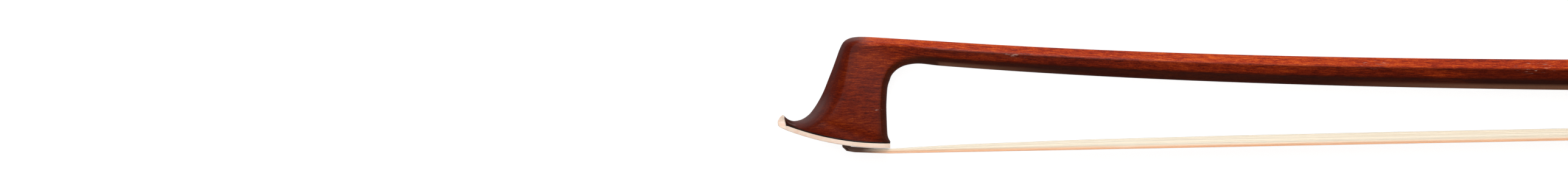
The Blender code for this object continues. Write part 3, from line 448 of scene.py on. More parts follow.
def pernambucoLook():
    look = Look("pernambuco", {"Specular IOR Level": 0.04, "Coat Roughness": 0.18})
    along, height = [look.along(axis, attribute="grain") for axis in "XY"]
    up = look.amount("upSide")
    fibre = look.clouds(look.place((0.13, 1.0, 1.0), "grain"), 3.4, 5.0, 0.66, 0.3)
    fine = look.clouds(look.place((0.26, 1.0, 1.0), "grain"), 10.0, 2.0, 0.6)
    broad = look.clouds(look.place((0.035, 0.25, 0.25), "grain"), 1.0, 3.0, 0.55, 0.6)
    pores = look.step(look.clouds(look.place((0.2, 1.0, 1.0), "grain"), 15.0, 1.0), 0.66, 0.76)
    tone = fibre * 0.50 + fine * 0.25 + broad * 0.25
    # painted light: the upper facets are painted lighter, as where light falls from above, and the side is
    # darker along parts of its length
    bright = look.step(up, 0.24, 0.46) * look.step(along, -10.0, -3.5)
    colour = look.blend(bright * 0.9, look.ramp(tone, wood["side"]), look.ramp(tone, wood["upper"]))
    away = look.node("Math", {"operation": "ABSOLUTE"}, {0: along - wood["palest"]})
    shade = look.step(away, 0.0, wood["paleReach"]) * look.step(along, 2.0, 14.0)
    shade = shade * look.step(broad, 0.66, 0.44)
    colour = look.blend(shade * (1.0 - bright) * 0.62, colour, wood["shade"])
    # below, painted shade on the lower chamfer
    low = look.step(up, -0.44, -0.16, 1.0, 0.0) * look.step(along, 2.0, 12.0)
    colour = look.blend(low * 0.85, colour, wood["handDirt"])
    # painted reflection of the pale floor: a lighter greyish brown along the stick's bottom edge, least near its
    # palest part
    floorSheen = look.step(up, -0.84, -0.58, 1.0, 0.0) * look.step(away, 22.0, 62.0) * look.step(along, 6.0, 14.0)
    colour = look.blend(floorSheen * (0.75 - fine * 0.3), colour, wood["rosin"])
    # the head's front is end grain, which takes the varnish darker and redder
    front = look.step(look.amount("fromFront"), 0.9, 5.5, 1.0, 0.0)
    patch = look.clouds(look.place((0.30, 0.5, 0.5), "grain"), 1.0, 3.0, 0.5)
    colour = look.blend(front * (patch * 0.7 + 0.45), colour, wood["front"])
    face = look.step(height, 6.0, 15.0, 1.0, 0.0) * look.step(along, 1.0, 6.0, 1.0, 0.0)
    colour = look.blend(face * 0.35, colour, wood["face"])
    # painted shade on the head's throat and heel chamfer, darkest near its back edge
    back = look.step(look.amount("fromBack"), 1.0, 2.1, 1.0, 0.0)
    colour = look.blend(back * 0.8, colour, wood["back"])
    colour = look.blend(pores * 0.45, colour, wood["pore"])
    # bare places where the varnish was knocked off
    speck = look.clouds(look.place((0.45, 2.2, 2.2), turn=(0.0, 0.0, 0.2)), 1.5, 3.0, 0.6)
    speck = look.step(speck, 0.56, 0.72)
    bare = look.step(look.clouds(look.place((0.5, 1.5, 1.5)), 2.0, 3.0, 0.7), 0.74, 0.80) * 0.4
    for *where, reach in wood["marks"]:
        apart = look.node("VectorMath", {"operation": "LENGTH"},
                          {0: look.place((0.45, 1.5, 1.0), centre=spot(*where))}, "Value")
        bare = bare + look.step(apart, reach * 0.2, reach, 1.0, 0.0) * speck
    bare = look.node("Math", {"operation": "MINIMUM"}, {0: bare, 1: 1.0})
    colour = look.blend(bare * 0.6, colour, wood["bare"])
    # the front's rounded edge shines at the beak and at the crown of the head
    beak = front * (look.step(height, 9.5, 14.5, 1.0, 0.0) + look.step(height, 24.2, 25.4) * 0.6)
    gloss = wood["gloss"] + bright * wood["upperGloss"] + beak * wood["beakGloss"]
    gloss = gloss * (1.0 - low * 0.6) * (1.0 - bare * 0.6) * (1.0 - back * 0.8)
    look.set({"Base Color": colour, "Roughness": fine * 0.12 + bare * 0.25 + low * 0.20 + 0.20,
              "Coat Weight": gloss})
    look.bump(pores * -0.6 + fibre * 0.4 - bare * 0.5, wood["depth"])
    return look


def makeStick():
    first = stickShape["firstRing"]
    run = stickEnd - 0.3 - first
    count = stickShape["rings"]
    places = [first + run * (i / count) ** 1.25 for i in range(count + 1)]
    control = list(headRows[::-1]) + [stickRow(places[0]), stickRow(places[1]), stickRow(places[2])]
    head = smoothRows(control, 6)[:-13]
    rows = head + [stickRow(s) for s in places]
    shape = bmesh.new()
    growAlong(shape, [stickRing(row) for row in rows])
    bmesh.ops.recalc_face_normals(shape, faces=shape.faces)
    # the seat of the liner is cut along tangents of its arc
    lift = stickShape["plate"] + stickShape["liner"]
    radius = stickShape["faceRadius"] - lift
    for i in range(stickShape["seatCuts"]):
        s = plateHeel - i * stickShape["seatStep"]
        slope = (s - plateHeel) / radius
        normal = Vector((slope, -math.sqrt(1.0 - slope * slope), 0.0))
        bmesh.ops.bisect_plane(shape, geom=shape.verts[:] + shape.edges[:] + shape.faces[:], dist=1e-7,
                               plane_co=spot(s, faceHeight(s, lift)), plane_no=normal, clear_outer=True)
        bmesh.ops.holes_fill(shape, edges=[edge for edge in shape.edges if edge.is_boundary])
    eyelet = [(corner - spot(0, 0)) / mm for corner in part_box("eyelet")]
    room = stickShape["slot"]
    slot = blockShape(
        (eyelet[0].x - room["before"], handleAxis - room["below"], eyelet[0].z - room["round"]),
        (eyelet[1].x + room["behind"], eyelet[1].y + room["round"], eyelet[1].z + room["round"]))
    nipple, bore, pip = [barShape(*stickShape[part]) for part in ("nipple", "bore", "pip")]
    shape = carved(shape, [windowCut(), slot, bore, pip], [nipple])
    piece = finish("bowStick", shape, pernambucoLook(), "stick", ["stick"], 24.0, True)
    headLines = [[Vector(row[k:k + 2]) for row in rows if row[0] < last] for k, last in ((0, -8.0), (2, 9.0))]
    addGrain(piece.data, *headLines)
    print("stick and head made")
    return piece


makeStick()


# Face plate of ivory and its black liner

plateShape = {
    "plan": ((-24.3, 0.5), (-22.4, 1.3), (-18.0, 3.05), (-13.3, 4.35), (-7.0, 4.95), (-0.7, 5.2), (0.3, 4.3)),
    # outer and inner point of each section round the upturned nose, after the arc
    "nose": ((-23.25, 5.95, -22.34, 6.6), (-23.75, 6.2, -22.35, 7.0), (-24.08, 6.6, -22.4, 7.4),
             (-24.2, 7.15, -22.5, 7.75), (-24.1, 7.7, -22.62, 8.05), (-23.75, 8.3, -22.72, 8.35),
             (-23.35, 8.7, -22.8, 8.6), (-23.0, 8.92, -22.85, 8.8)),
    "heel": plateHeel, "noseStart": -22.0, "linerEnd": -22.4,
    "sections": 30, "worn": 0.22, "inner": 0.06, "overlap": 0.02, "linerEdge": 0.05,
}


def planHalf(s):
    plan = plateShape["plan"]
    for (first, w), (last, v) in zip(plan, plan[1:]):
        if s <= last:
            return w + (v - w) * max(0.0, (s - first) / (last - first))
    return plan[-1][1]


def bandRing(outer, inner, half, worn, sharp):
    # A section of a flat band: outer and inner points (s, h), with its outer corners worn
    depth = (Vector(inner) - Vector(outer)).length
    worn = min(worn, depth * 0.45, half * 0.45)
    return softRing(outer, inner, ((0.0, half), (depth, half)), (worn, sharp), (5, 3))


def ivoryLook():
    look = Look("ivory", {"Specular IOR Level": 0.45, "Subsurface Weight": 0.12, "Subsurface Scale": 0.0012,
                          "Subsurface Radius": (1.0, 0.6, 0.35)})
    lines = look.clouds(look.place((0.09, 1.4, 1.4)), 1.6, 3.0, 0.5, 0.4)
    cloudy = look.clouds(look.place((0.3, 0.3, 0.3)), 1.0, 3.0)
    colour = look.blend(look.step(lines, 0.42, 0.62), (1.0, 0.78, 0.64), (0.98, 0.68, 0.53))
    colour = look.blend(look.step(cloudy, 0.5, 0.75) * 0.25, colour, (0.72, 0.48, 0.30))
    dirt = look.step(look.clouds(look.place((1.3, 1.3, 1.3)), 1.0, 5.0, 0.7), 0.65, 0.74)
    colour = look.blend(dirt * 0.35, colour, (0.30, 0.17, 0.10))
    look.set({"Base Color": colour, "Roughness": cloudy * 0.2 + 0.25})
    look.bump(lines * 0.5 + dirt * -1.0, 0.01)
    return look


def ebonyLook(name, shine):
    look = Look(name, {"Specular IOR Level": shine})
    fibre = look.clouds(look.place((0.06, 1.0, 1.0)), 3.0, 5.0, 0.6, 0.4)
    pore = look.clouds(look.place((0.22, 1.0, 1.0)), 7.0, 2.0)
    pores = look.step(pore, 0.62, 0.70)
    brown = look.step(look.clouds(look.place((0.02, 0.22, 0.22)), 1.0, 3.0), 0.5, 0.7)
    colour = look.blend(fibre, (0.006, 0.005, 0.005), (0.022, 0.016, 0.013))
    colour = look.blend(brown * 0.5, colour, (0.036, 0.019, 0.011))
    look.set({"Base Color": colour, "Roughness": fibre * 0.14 + pores * 0.2 + 0.16})
    look.bump(pores * -1.0 + fibre * 0.3, 0.008)
    return look


ebony = ebonyLook("ebony", 0.35)


def makeFace():
    count = plateShape["sections"]
    heel, start = plateShape["heel"], plateShape["noseStart"]
    places = [heel + (start - heel) * i / count for i in range(count + 1)]
    plate, liner = stickShape["plate"], stickShape["liner"]
    rings = [bandRing((s, faceHeight(s, 0.0)), (s, faceHeight(s, plate)), planHalf(s) - plateShape["overlap"],
                      plateShape["worn"], plateShape["inner"]) for s in places]
    nose = smoothRows([(start, faceHeight(start, 0.0), start, faceHeight(start, plate))]
                      + list(plateShape["nose"]), 3)[1:]
    rings += [bandRing(row[:2], row[2:], planHalf(row[0]) - plateShape["overlap"],
                       plateShape["worn"], plateShape["inner"])
              for row in nose]
    shape = bmesh.new()
    growAlong(shape, rings)
    shape = carved(shape, [windowCut()])
    finish("facePlate", shape, ivoryLook(), "stick", ["head_plate"], 30.0, True)

    shape = bmesh.new()
    places = [heel + (plateShape["linerEnd"] - heel) * i / count for i in range(count + 1)]
    over, edge = plateShape["overlap"], plateShape["linerEdge"]
    growAlong(shape, [bandRing((s, faceHeight(s, plate - over)), (s, faceHeight(s, plate + liner + over)),
                               planHalf(s) - edge, edge, edge) for s in places])
    shape = carved(shape, [windowCut()])
    finish("faceLiner", shape, ebonyLook("linerEbony", 0.08), "stick", ["head_liner"], 30.0)
    print("face plate and liner made")


makeFace()


# The hair: separate strands from the head's mortise over its plug, along the bow and into the frog

hairShape = {
    "onSides": 70, "onFaces": 230, "inside": 20, "radius": 0.10, "thinnest": 0.8, "sides": 5, "sunk": 0.35,
    "seed": 7, "wander": 0.05, "faceWander": 0.022, "beat": (0.7, 2.2),
    # the run from the head to the ferrule: its height at its ends and how much more between them, and its
    # half width at the head and how much more at the ferrule
    "runStations": 14, "crowding": 1.4, "runHeight": 1.1, "runSwell": 1.6, "runHalf": 4.2, "runSpread": 1.1,
    "swellBehind": 35.0, "swellBefore": 60.0, "coreRound": 0.15,
    # outer s, h, inner s, h and half width of the ribbon: out of the knot in the head and over its plug, ...
    "fromHead": ((-10.2, 7.0, -9.2, 7.0, 2.9), (-10.2, 2.6, -9.2, 2.9, 2.9), (-10.15, 1.6, -8.9, 1.98, 2.9),
                 (-9.3, 0.75, -8.0, 1.62, 3.0), (-7.6, 0.42, -6.6, 1.50, 3.3), (-3.0, 0.15, -3.0, 1.20, 3.9),
                 (0.3, 0.0, 0.3, 1.05, 4.2)),
    # ... through the ferrule, with s from its front, ...
    "ferrule": ((0.0, 0.0, 0.0, 1.1, 5.3), (9.0, 0.0, 9.0, 1.0, 5.3), (12.6, 1.55, 12.6, 2.45, 4.8)),
    # ... and up to the knot in the frog, with s from that knot's near side
    "intoFrog": ((-0.05, 1.5, -0.05, 2.5, 3.0), (0.9, 1.7, 0.15, 2.85, 3.0), (1.35, 2.6, 0.3, 3.3, 3.0),
                 (1.35, 6.2, 0.3, 6.2, 3.0)),
    # the third colour below is painted shade on the ribbon's lower edge
    "pale": (1.0, 0.80, 0.56), "white": (1.0, 0.96, 0.84), "lowEdge": (0.88, 0.35, 0.12),
    # the first colour below is the hair's pale rosin dust, the second dirt with painted shade where the hair
    # leaves the head
    "rosin": (1.0, 0.95, 0.86), "dirt": (0.066, 0.015, 0.005),
}


def hairRows():
    # outer s, h, inner s, h and half width of the ribbon, from the knot in the head to the frog's mortise
    rows = list(hairShape["fromHead"])
    count = hairShape["runStations"]
    for i in range(1, count):
        share = (i / count) ** hairShape["crowding"]
        s = ferruleS * share
        spread = 1.0 - math.exp(-s / hairShape["swellBehind"])
        spread *= 1.0 - math.exp(-(ferruleS - s) / hairShape["swellBefore"])
        rows.append((s, 0.0, s, hairShape["runHeight"] + hairShape["runSwell"] * spread,
                     hairShape["runHalf"] + hairShape["runSpread"] * share))
    back = (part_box("hair")[1].x - heelX) / mm - hairShape["intoFrog"][-1][0]
    for start, part in ((ferruleS, "ferrule"), (back, "intoFrog")):
        rows += [(start + so, ho, start + si, hi, half) for so, ho, si, hi, half in hairShape[part]]
    return rows


def hairCore(rows):
    # A solid ribbon from under the face plate into the ferrule, just below the hair's surface
    deep = hairShape["radius"]
    rings = []
    for so, ho, si, hi, half in rows[3:-5]:
        depth = math.hypot(si - so, hi - ho)
        rings.append(softRing((so, ho), (si, hi), ((deep, half - deep), (depth - deep, half - deep)),
                              (hairShape["coreRound"],) * 2, (3, 3)))
    return rings


def horsehairLook():
    look = Look("horsehair", {"Specular IOR Level": 0.35})
    along, height = [look.along(axis, centre=spot(0, 0)) for axis in "XY"]
    own = look.clouds(look.place((0.012, 3.0, 3.0)), 1.0, 4.0, 0.7)
    colour = look.blend(own, hairShape["pale"], hairShape["white"])
    # painted shade: the lower part of the ribbon painted a darker orange
    low = look.step(height, 0.2, 1.0, 1.0, 0.0)
    colour = look.blend(low * 0.75, colour, hairShape["lowEdge"])
    dust = look.step(look.clouds(look.place((0.05, 0.9, 0.9)), 1.0, 4.0, 0.6), 0.55, 0.8)
    colour = look.blend(dust * 0.3, colour, hairShape["rosin"])
    # rosin and dirt where the hair leaves the head, with painted shade under the face plate
    dark = look.step(along + own * 3.0, -5.0, 2.5, 1.0, 0.0)
    colour = look.blend(dark * 0.95, colour, hairShape["dirt"])
    look.set({"Base Color": colour, "Roughness": dust * 0.3 + 0.42})
    return look


def strandPattern(stations, sides):
    # A mesh of one strand, and the order of its vertices along and round it
    pattern = bmesh.new()
    loops = growAlong(pattern, [[(i, 0.0, k) for k in range(sides)] for i in range(stations)])
    pattern.verts.index_update()
    order = [vertex.index for loop in loops for vertex in loop]
    return asMesh("strand", pattern), order


def makeHair():
    draw = random.Random(hairShape["seed"])
    rows = hairRows()
    thick, sides = hairShape["radius"], hairShape["sides"]
    strand, order = strandPattern(len(rows), sides)
    shape = bmesh.new()
    growAlong(shape, hairCore(rows))
    # strands half sunk in the sides and faces of that ribbon
    sunk = thick * (1.0 + hairShape["sunk"])
    onSides, onFaces = hairShape["onSides"], hairShape["onFaces"]
    kinds = ["side"] * onSides + ["face"] * onFaces + ["inside"] * hairShape["inside"]
    for number, kind in enumerate(kinds):
        depth, aside = draw.uniform(0.0, 1.0), draw.uniform(-1.0, 1.0)
        turn, beat = draw.uniform(0.0, 6.28), draw.uniform(*hairShape["beat"])
        # each strand is turned its own way, since level faces of two strands would shade each other
        angles = [turn + 2.0 * math.pi * k / sides for k in range(sides)]
        corners = [(math.cos(angle), math.sin(angle)) for angle in angles]
        reach = thick * draw.uniform(hairShape["thinnest"], 1.0)
        wander = hairShape["wander"]
        if kind == "face":
            # side by side over both faces, so that hardly a gap opens between them
            aside = 2.0 * (number - onSides + draw.uniform(0.0, 1.0)) / onFaces - 1.0
            wander = hairShape["faceWander"]
        places = []
        for i, (so, ho, si, hi, half) in enumerate(rows):
            edge, far = sunk / math.hypot(si - so, hi - ho), 1.0 - sunk / half
            sway = wander * math.sin(turn + beat * i)
            t = min(1.0 - edge, max(edge, depth + sway))
            u = min(far, max(-far, aside + sway))
            if kind == "side":
                u = math.copysign(far, aside)
            elif kind == "face":
                t = 1.0 - edge if number % 2 else edge
            s, h, z = so + (si - so) * t, ho + (hi - ho) * t, half * u
            before, after = rows[max(i - 1, 0)], rows[min(i + 1, len(rows) - 1)]
            way = Vector((after[0] + after[2] - before[0] - before[2],
                          after[1] + after[3] - before[1] - before[3])).normalized() * reach
            places += [spot(s - way.y * a, h + way.x * a, z + reach * b) for a, b in corners]
        for index, place in zip(order, places):
            strand.vertices[index].co = place
        shape.from_mesh(strand)
    bpy.data.meshes.remove(strand)
    piece = finish("hairStrands", shape, horsehairLook(), None, ["hair"], 80.0)
    spot(0.3, 1.0)
    spot(ferruleS, 1.0)
    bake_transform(piece)
    print("hair made:", len(piece.data.polygons), "faces")


makeHair()


# Winding: two strips side by side round the stick, one dark and one pale, and the thumb leather behind them

windingShape = {
    "start": (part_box("winding_dark")[0].x - heelX) / mm,
    "end": (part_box("thumb_leather")[0].x - heelX) / mm - 0.05,
    "turns": 31, "steps": 24, "gap": 0.05, "thickness": 0.42, "crown": 0.03, "lift": 0.06, "round": 0.12,
    # name, slot, dark and pale colour of each strip
    "strips": (("windingDark", "whalebone_dark", (0.020, 0.014, 0.011), (0.055, 0.038, 0.027)),
               ("windingLight", "whalebone_light", (0.46, 0.30, 0.14), (0.68, 0.50, 0.27))),
}


def octagonReach(angle, width):
    # from the stick's axis to its surface, with its edges a little rounded
    eighth = math.pi / 4
    return min(width / 2 / math.cos((angle + eighth / 2) % eighth - eighth / 2), width / 2 * 1.065)


def whaleboneLook(name, dark, pale):
    look = Look(name, {"Specular IOR Level": 0.5})
    fibre = look.clouds(look.place((2.2, 0.25, 0.25)), 2.0, 4.0, 0.6)
    worn = look.step(look.clouds(look.place((0.12, 0.4, 0.4)), 1.0, 3.0), 0.5, 0.7)
    colour = look.blend(look.step(fibre, 0.35, 0.65), dark, pale)
    colour = look.blend(worn * 0.3, colour, tuple(part * 0.45 for part in dark))
    look.set({"Base Color": colour, "Roughness": fibre * 0.2 + worn * 0.15 + 0.22})
    look.bump(fibre, 0.01)
    return look


def makeWinding():
    turns, steps = windingShape["turns"], windingShape["steps"]
    lead = (windingShape["end"] - windingShape["start"]) / (turns + 0.5)
    half = lead / 4 - windingShape["gap"] / 2
    corner, depth = windingShape["round"], windingShape["thickness"]
    profile = ((-half, 0.0), (half, 0.0), (half, depth - corner), (half - corner, depth),
               (0.0, depth + windingShape["crown"]), (corner - half, depth), (-half, depth - corner))
    for index, (name, slot, dark, pale) in enumerate(windingShape["strips"]):
        rings = []
        for step in range(turns * steps + 1):
            angle = 2.0 * math.pi * (step + 0.5) / steps
            middle = windingShape["start"] + half + lead * (step / steps + index * 0.5)
            ring = []
            for aside, lift in profile:
                s = middle + aside
                reach = octagonReach(angle, stickWidth(s)) + windingShape["lift"] + lift
                ring.append((s, stickAxis(s) + reach * math.cos(angle), reach * math.sin(angle)))
            rings.append(ring)
        shape = bmesh.new()
        growAlong(shape, rings)
        node = slot.replace("whalebone", "winding")
        finish(name, shape, whaleboneLook(slot, dark, pale), "stick", [node], 35.0)
    print("winding made:", turns, "turns of each strip")


makeWinding()

leatherShape = {
    "start": (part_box("thumb_leather")[0].x - heelX) / mm, "end": (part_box("thumb_leather")[1].x - heelX) / mm,
    "outer": (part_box("thumb_leather")[1].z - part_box("thumb_leather")[0].z) / 2 / mm,
    "steps": 64, "edge": 0.5, "lift": 0.06, "octagon": 0.14, "thickness": 0.9,
    "seamTurn": 205.0, "seamDepth": 0.22, "seamHalf": 5.0, "uneven": 0.05,
    "dark": (0.020, 0.0075, 0.0030), "brown": (0.085, 0.032, 0.0130), "rubbed": (0.170, 0.070, 0.030),
}


def leatherLook():
    look = Look("leather", {"Specular IOR Level": 0.22})
    grain = look.cells(look.place(), 3.6)
    ridges = look.step(grain, 0.0, 0.22)
    fine = look.clouds(look.place((1.0, 1.0, 1.0)), 7.0, 4.0, 0.65)
    rubbed = look.step(look.clouds(look.place((0.12, 0.3, 0.3)), 1.0, 3.0), 0.48, 0.66)
    colour = look.blend(fine, leatherShape["dark"], leatherShape["brown"])
    colour = look.blend(rubbed * ridges * 0.6, colour, leatherShape["rubbed"])
    look.set({"Base Color": colour, "Roughness": 0.62 - rubbed * 0.22 - ridges * 0.08})
    look.bump(ridges * 0.8 + fine * 0.4, 0.07)
    return look


def makeLeather():
    start, end, outer = leatherShape["start"], leatherShape["end"], leatherShape["outer"]
    edge, steps = leatherShape["edge"], leatherShape["steps"]
    # s and how far the surface stands up, as a share of the leather's thickness, over and back under
    path = [(start, 0.0), (start, 0.55), (start + 0.15, 0.85), (start + edge, 1.0)]
    path += [(start + (end - start) * i / 12, 1.0) for i in range(1, 12)]
    path += [(end - edge, 1.0), (end - 0.15, 0.85), (end, 0.55), (end, 0.0)]
    rings = []
    for s, share in path:
        ring = []
        for k in range(steps):
            angle = 2.0 * math.pi * k / steps
            under = octagonReach(angle, stickWidth(s)) + leatherShape["lift"]
            # a round tube of leather that still shows a little of the octagon
            over = outer * (1.0 - leatherShape["octagon"])
            over += (under + leatherShape["thickness"]) * leatherShape["octagon"]
            over = min(over, outer - 0.02)
            turned = abs((math.degrees(angle) - leatherShape["seamTurn"] + 180.0) % 360.0 - 180.0)
            over -= leatherShape["seamDepth"] * max(0.0, 1.0 - turned / leatherShape["seamHalf"]) ** 0.6
            over += leatherShape["uneven"] * (math.sin(s * 1.1 + 3.0 * angle) * math.sin(s * 0.37) - 1.0)
            reach = under + (over - under) * share
            ring.append((s, stickAxis(s) + reach * math.cos(angle), reach * math.sin(angle)))
        rings.append(ring)
    shape = bmesh.new()
    loops = growAlong(shape, rings, closed=True)
    ends = [[shape.edges.get((loop[i], loop[(i + 1) % steps])) for i in range(steps)]
            for loop in (loops[0], loops[-1])]
    bmesh.ops.bridge_loops(shape, edges=ends[0] + ends[1])
    finish("thumbLeather", shape, leatherLook(), "stick", ["thumb_leather"], 50.0)
    print("thumb leather made")


makeLeather()


# Hair knots, bound with thread, in the two mortises

knotShape = {
    "thread": 0.2, "threadSides": 6, "steps": 20, "corner": 0.6, "margin": 0.7,
    # how far in from each end, and the share of the knot's full thickness there
    "headEnd": ((0.0, 0.55), (0.5, 0.9), (0.9, 1.0)), "tailEnd": ((0.9, 1.0), (0.4, 0.85), (0.0, 0.4)),
    "dark": (0.26, 0.026, 0.022), "red": (0.52, 0.075, 0.060),
}


def makeKnot(name, node, body, look):
    low, high = [(corner - spot(0, 0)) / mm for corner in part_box(node)]
    middle, half = (low + high) / 2, (high - low) / 2
    thick, steps = knotShape["thread"], knotShape["steps"]
    turns = int((high.x - low.x - 2.0 * knotShape["margin"]) / (2.0 * thick))

    def around(s, angle, grow, share=1.0):
        # a soft rectangle across the knot
        h, z = [math.copysign(abs(v) ** knotShape["corner"], v) for v in (math.cos(angle), math.sin(angle))]
        return (s, middle.y + (half.y - 2 * thick + grow) * h * share,
                middle.z + (half.z - 2 * thick + grow) * z * share)
    angles = [2.0 * math.pi * k / steps for k in range(steps)]
    sides = [2.0 * math.pi * k / knotShape["threadSides"] for k in range(knotShape["threadSides"])]
    ends = [(low.x + aside, share) for aside, share in knotShape["headEnd"]]
    ends += [(high.x - aside, share) for aside, share in knotShape["tailEnd"]]
    shape = bmesh.new()
    growAlong(shape, [[around(s, angle, 0.0, share) for angle in angles] for s, share in ends])
    rings = []
    for step in range(turns * steps + 1):
        s = low.x + knotShape["margin"] + thick / 2 + 2.0 * thick * step / steps
        turn = 2.0 * math.pi * step / steps
        rings.append([around(s + thick * math.cos(a), turn, thick + thick * math.sin(a)) for a in sides])
    growAlong(shape, rings)
    finish(name, shape, look, body, [node], 60.0)


def threadLook():
    look = Look("thread", {"Specular IOR Level": 0.35, "Sheen Weight": 0.2})
    twist = look.clouds(look.place((3.0, 3.0, 3.0), turn=(0.3, 0.5, 0.7)), 1.5, 3.0, 0.6)
    look.set({"Base Color": look.blend(twist, knotShape["dark"], knotShape["red"]),
              "Roughness": twist * 0.2 + 0.5})
    look.bump(twist, 0.03)
    return look


thread = threadLook()
makeKnot("headKnot", "head_hair_knot", "stick", thread)
makeKnot("frogKnot", "frog_hair_knot", "frog", thread)
print("hair knots made")


# Fittings of the frog and button: their CAD forms with the edges worn soft, and their finishes

fittings = {
    "silver": (0.62, 0.605, 0.575), "tarnish": (0.36, 0.31, 0.25),
    "pearlBands": ((0.0, (0.36, 0.70, 0.62)), (0.25, (0.78, 0.90, 0.76)), (0.5, (0.98, 0.74, 0.74)),
                   (0.75, (0.58, 0.64, 0.92)), (1.0, (1.0, 0.96, 0.84))),
    "pearlVeil": (0.94, 0.91, 0.85), "pearlGrain": (0.4, 0.3, 0.6),
    "maple": ((0.44, 0.28, 0.14), (0.74, 0.56, 0.35)),
    # dull and bright colour
    "brass": ((0.42, 0.27, 0.10), (0.80, 0.58, 0.26)), "steel": ((0.26, 0.25, 0.24), (0.60, 0.60, 0.61)),
    # distance that merges vertices, and angles under which faces are joined, and over which edges are
    # rounded and stay sharp
    "merge": 0.004, "flat": 0.8, "rounded": 28.0, "sharp": 32.0,
    # how far each piece's edges are worn round
    "wear": {"frog": 0.22, "ferrule": 0.09, "heel_plate": 0.13, "slide_pearl": 0.10, "button": 0.12,
             "button_front_ring": 0.14, "button_rear_ring": 0.14, "eye_ring_left": 0.09,
             "eye_ring_right": 0.09, "eye_pearl_left": 0.08, "eye_pearl_right": 0.08,
             "button_pearl": 0.10, "eyelet": 0.10},
}


def silverLook():
    look = Look("silver", {"Metallic": 1.0})
    cloudy = look.clouds(look.place((0.25, 0.25, 0.25)), 1.0, 4.0, 0.6)
    rubs = look.clouds(look.place((0.4, 5.0, 5.0), turn=(0.2, 0.1, 0.5)), 1.5, 3.0, 0.6)
    tarnish = look.step(cloudy, 0.50, 0.72)
    colour = look.blend(tarnish * 0.6, fittings["silver"], fittings["tarnish"])
    look.set({"Base Color": colour, "Roughness": tarnish * 0.16 + rubs * 0.16 + 0.15})
    look.bump(rubs * 0.6 + cloudy * 0.4, 0.006)
    return look


def pearlLook():
    # Mother of pearl: soft bands that turn from green to pink as the layers come up
    look = Look("pearl", {"Specular IOR Level": 0.5, "Coat Roughness": 0.05})
    turn = fittings["pearlGrain"]
    warp = look.clouds(look.place((0.07, 0.12, 0.12), turn=turn), 1.0, 3.0, 0.5, 1.2)
    layers = look.clouds(look.place((0.22, 0.40, 0.40), turn=turn), 1.0, 2.0, 0.5, 2.0)
    band = look.node("Math", {"operation": "SINE"}, {0: warp * 9.0 + layers * 4.0}) * 0.5 + 0.5
    colour = look.blend(0.3, look.ramp(band, fittings["pearlBands"]), fittings["pearlVeil"])
    look.set({"Base Color": colour, "Roughness": layers * 0.12 + 0.12, "Coat Weight": band * 0.4 + 0.5})
    look.bump(layers, 0.004)
    return look


def mapleLook():
    look = Look("maple", {"Specular IOR Level": 0.3})
    lines = look.clouds(look.place((0.12, 1.2, 1.2)), 2.4, 4.0, 0.6)
    look.set({"Base Color": look.blend(lines, *fittings["maple"]),
              "Roughness": lines * 0.2 + 0.5})
    look.bump(lines, 0.02)
    return look


def turnedMetal(name):
    dull, bright = fittings[name]
    look = Look(name, {"Metallic": 1.0})
    rings = look.clouds(look.place((7.0, 0.05, 0.05)), 1.0, 3.0, 0.6)
    worn = look.step(look.clouds(look.place((0.4, 0.4, 0.4)), 1.0, 4.0), 0.45, 0.7)
    look.set({"Base Color": look.blend(worn * 0.7, bright, dull),
              "Roughness": rings * 0.2 + worn * 0.2 + 0.2})
    look.bump(rings, 0.008)
    return look


def softened(node, name, look, body, width):
    # A copy of a CAD piece, merged, with its edges rounded
    shape = bmesh.new()
    shape.from_mesh(bpy.data.objects[node].data)
    bmesh.ops.remove_doubles(shape, verts=shape.verts, dist=fittings["merge"] * mm)
    bmesh.ops.dissolve_limit(shape, angle_limit=math.radians(fittings["flat"]), verts=shape.verts,
                             edges=shape.edges)
    edges = [edge for edge in shape.edges
             if edge.is_manifold and math.degrees(edge.calc_face_angle()) > fittings["rounded"]]
    bmesh.ops.bevel(shape, geom=edges, offset=width * mm, offset_type="OFFSET", segments=2, profile=0.5,
                    affect="EDGES", material=-1, clamp_overlap=True)
    finish(name, shape, look, body, [node], fittings["sharp"], True)


record = frame["record"]
ridersOf = {node: body for body, group in record["behaviour"]["bodies"].items() for node in group}
slotOf = {row["node"]: row["material_slot"] for row in record["subparts"]}
finishes = {"ebony": ebony, "silver": silverLook(), "pearl": pearlLook(), "maple": mapleLook(),
            "brass": turnedMetal("brass"), "steel": turnedMetal("steel")}
for node, width in fittings["wear"].items():
    camel = "".join(word.capitalize() if i else word for i, word in enumerate(node.split("_")))
    softened(node, camel + "Worn", finishes[slotOf[node]], ridersOf[node], width)
for node, slot in slotOf.items():
    if slot in finishes:
        for place in bpy.data.objects[node].material_slots:
            place.material = finishes[slot].material
print("fittings finished")


# Camera, floor and light

picture = {"middle": (-22.7, 12.58), "frame": 343.5, "roll": 1.09, "distance": 1300.0}


def makeCamera():
    data = bpy.data.cameras.new("photoCamera")
    data.sensor_width = 36.0
    data.lens = data.sensor_width * picture["distance"] / picture["frame"]
    data.clip_start, data.clip_end = 0.01, 20.0
    camera = added("photoCamera", data)
    camera.location = spot(*picture["middle"]) + Vector((0.0, 0.0, picture["distance"] * mm))
    camera.rotation_euler = (0.0, 0.0, -math.radians(picture["roll"]))
    bpy.context.scene.camera = camera


studio = {
    "floorSize": 4.0,
    "floorTone": 0.32, "floorGlow": 0.86,                  # shadowed places show the tone, others go white
    # each lamp: how far it stands up from the table on the stick's side, its size and its power
    "lamps": {"softKey": (44.0, (1.6, 0.32), 8.7), "softFill": (150.0, (1.6, 0.60), 2.2)},
    "lampDistance": 0.9, "lampsOver": 20.0, "domeTone": 0.36,
    # what reflections and the camera see overhead, and from which height the walls darken to it
    "ceiling": 0.14, "wallTop": 0.45, "ceilingEdge": 0.85,
}


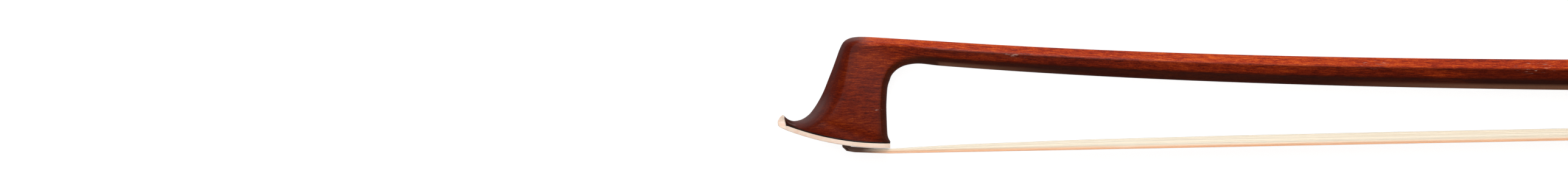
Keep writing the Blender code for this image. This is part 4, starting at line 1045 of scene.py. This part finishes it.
def seenDirectly(look):
    # 1 for rays from the camera and for reflections, which see the white surroundings
    rays = [look.node("LightPath", output=name)
            for name in ("Is Camera Ray", "Is Glossy Ray", "Is Transmission Ray")]
    return look.node("Math", {"operation": "MINIMUM"}, {0: rays[0] + rays[1] + rays[2], 1: 1.0})


def makeFloor():
    look = Look("paleFloor", {"Roughness": 0.9, "Specular IOR Level": 0.0})
    tone = studio["floorTone"]
    paper = look.clouds(look.place((0.02, 0.02, 0.02)), 1.0, 3.0)
    look.set({"Base Color": look.blend(paper, (tone * 0.985,) * 3, (tone * 1.015,) * 3)})
    glow = seenDirectly(look) * studio["floorGlow"]
    glow = look.node("Emission", {}, {"Color": (1.0, 1.0, 1.0), "Strength": glow})
    both = look.node("AddShader", {}, {0: Value(look, look.shader.outputs[0]), 1: glow})
    look.feed(look.tree.nodes["Material Output"].inputs["Surface"], both)
    shape = bmesh.new()
    bmesh.ops.create_grid(shape, x_segments=1, y_segments=1, size=studio["floorSize"])
    floor = added("floor", asMesh("floor", shape))
    floor.data.materials.append(look.material)


def makeLight():
    for name, (turn, size, power) in studio["lamps"].items():
        data = bpy.data.lights.new(name, "AREA")
        data.shape = "RECTANGLE"
        data.size, data.size_y = size
        data.energy = power
        lamp = added(name, data)
        way = Vector((0.0, math.cos(math.radians(turn)), math.sin(math.radians(turn))))
        lamp.location = spot(studio["lampsOver"], 10.0) + way * studio["lampDistance"]
        lamp.rotation_euler = way.to_track_quat("Z", "X").to_euler()

    world = bpy.data.worlds.new("studio")
    bpy.context.scene.world = world
    look = Look("studio", world=world)
    tone = studio["domeTone"]
    up = look.node("SeparateXYZ", {}, {0: look.node("TexCoord", output="Generated")}, "Z")
    seen = look.step(up, studio["wallTop"], studio["ceilingEdge"], 1.0, studio["ceiling"])
    strength = seenDirectly(look) * (seen - tone) + tone
    look.feed(look.tree.nodes["Background"].inputs["Color"], (1.0, 1.0, 1.0))
    look.feed(look.tree.nodes["Background"].inputs["Strength"], strength)
    bpy.context.scene.view_settings.view_transform = "Standard"


makeCamera()
makeFloor()
makeLight()
print("camera, floor and light made")
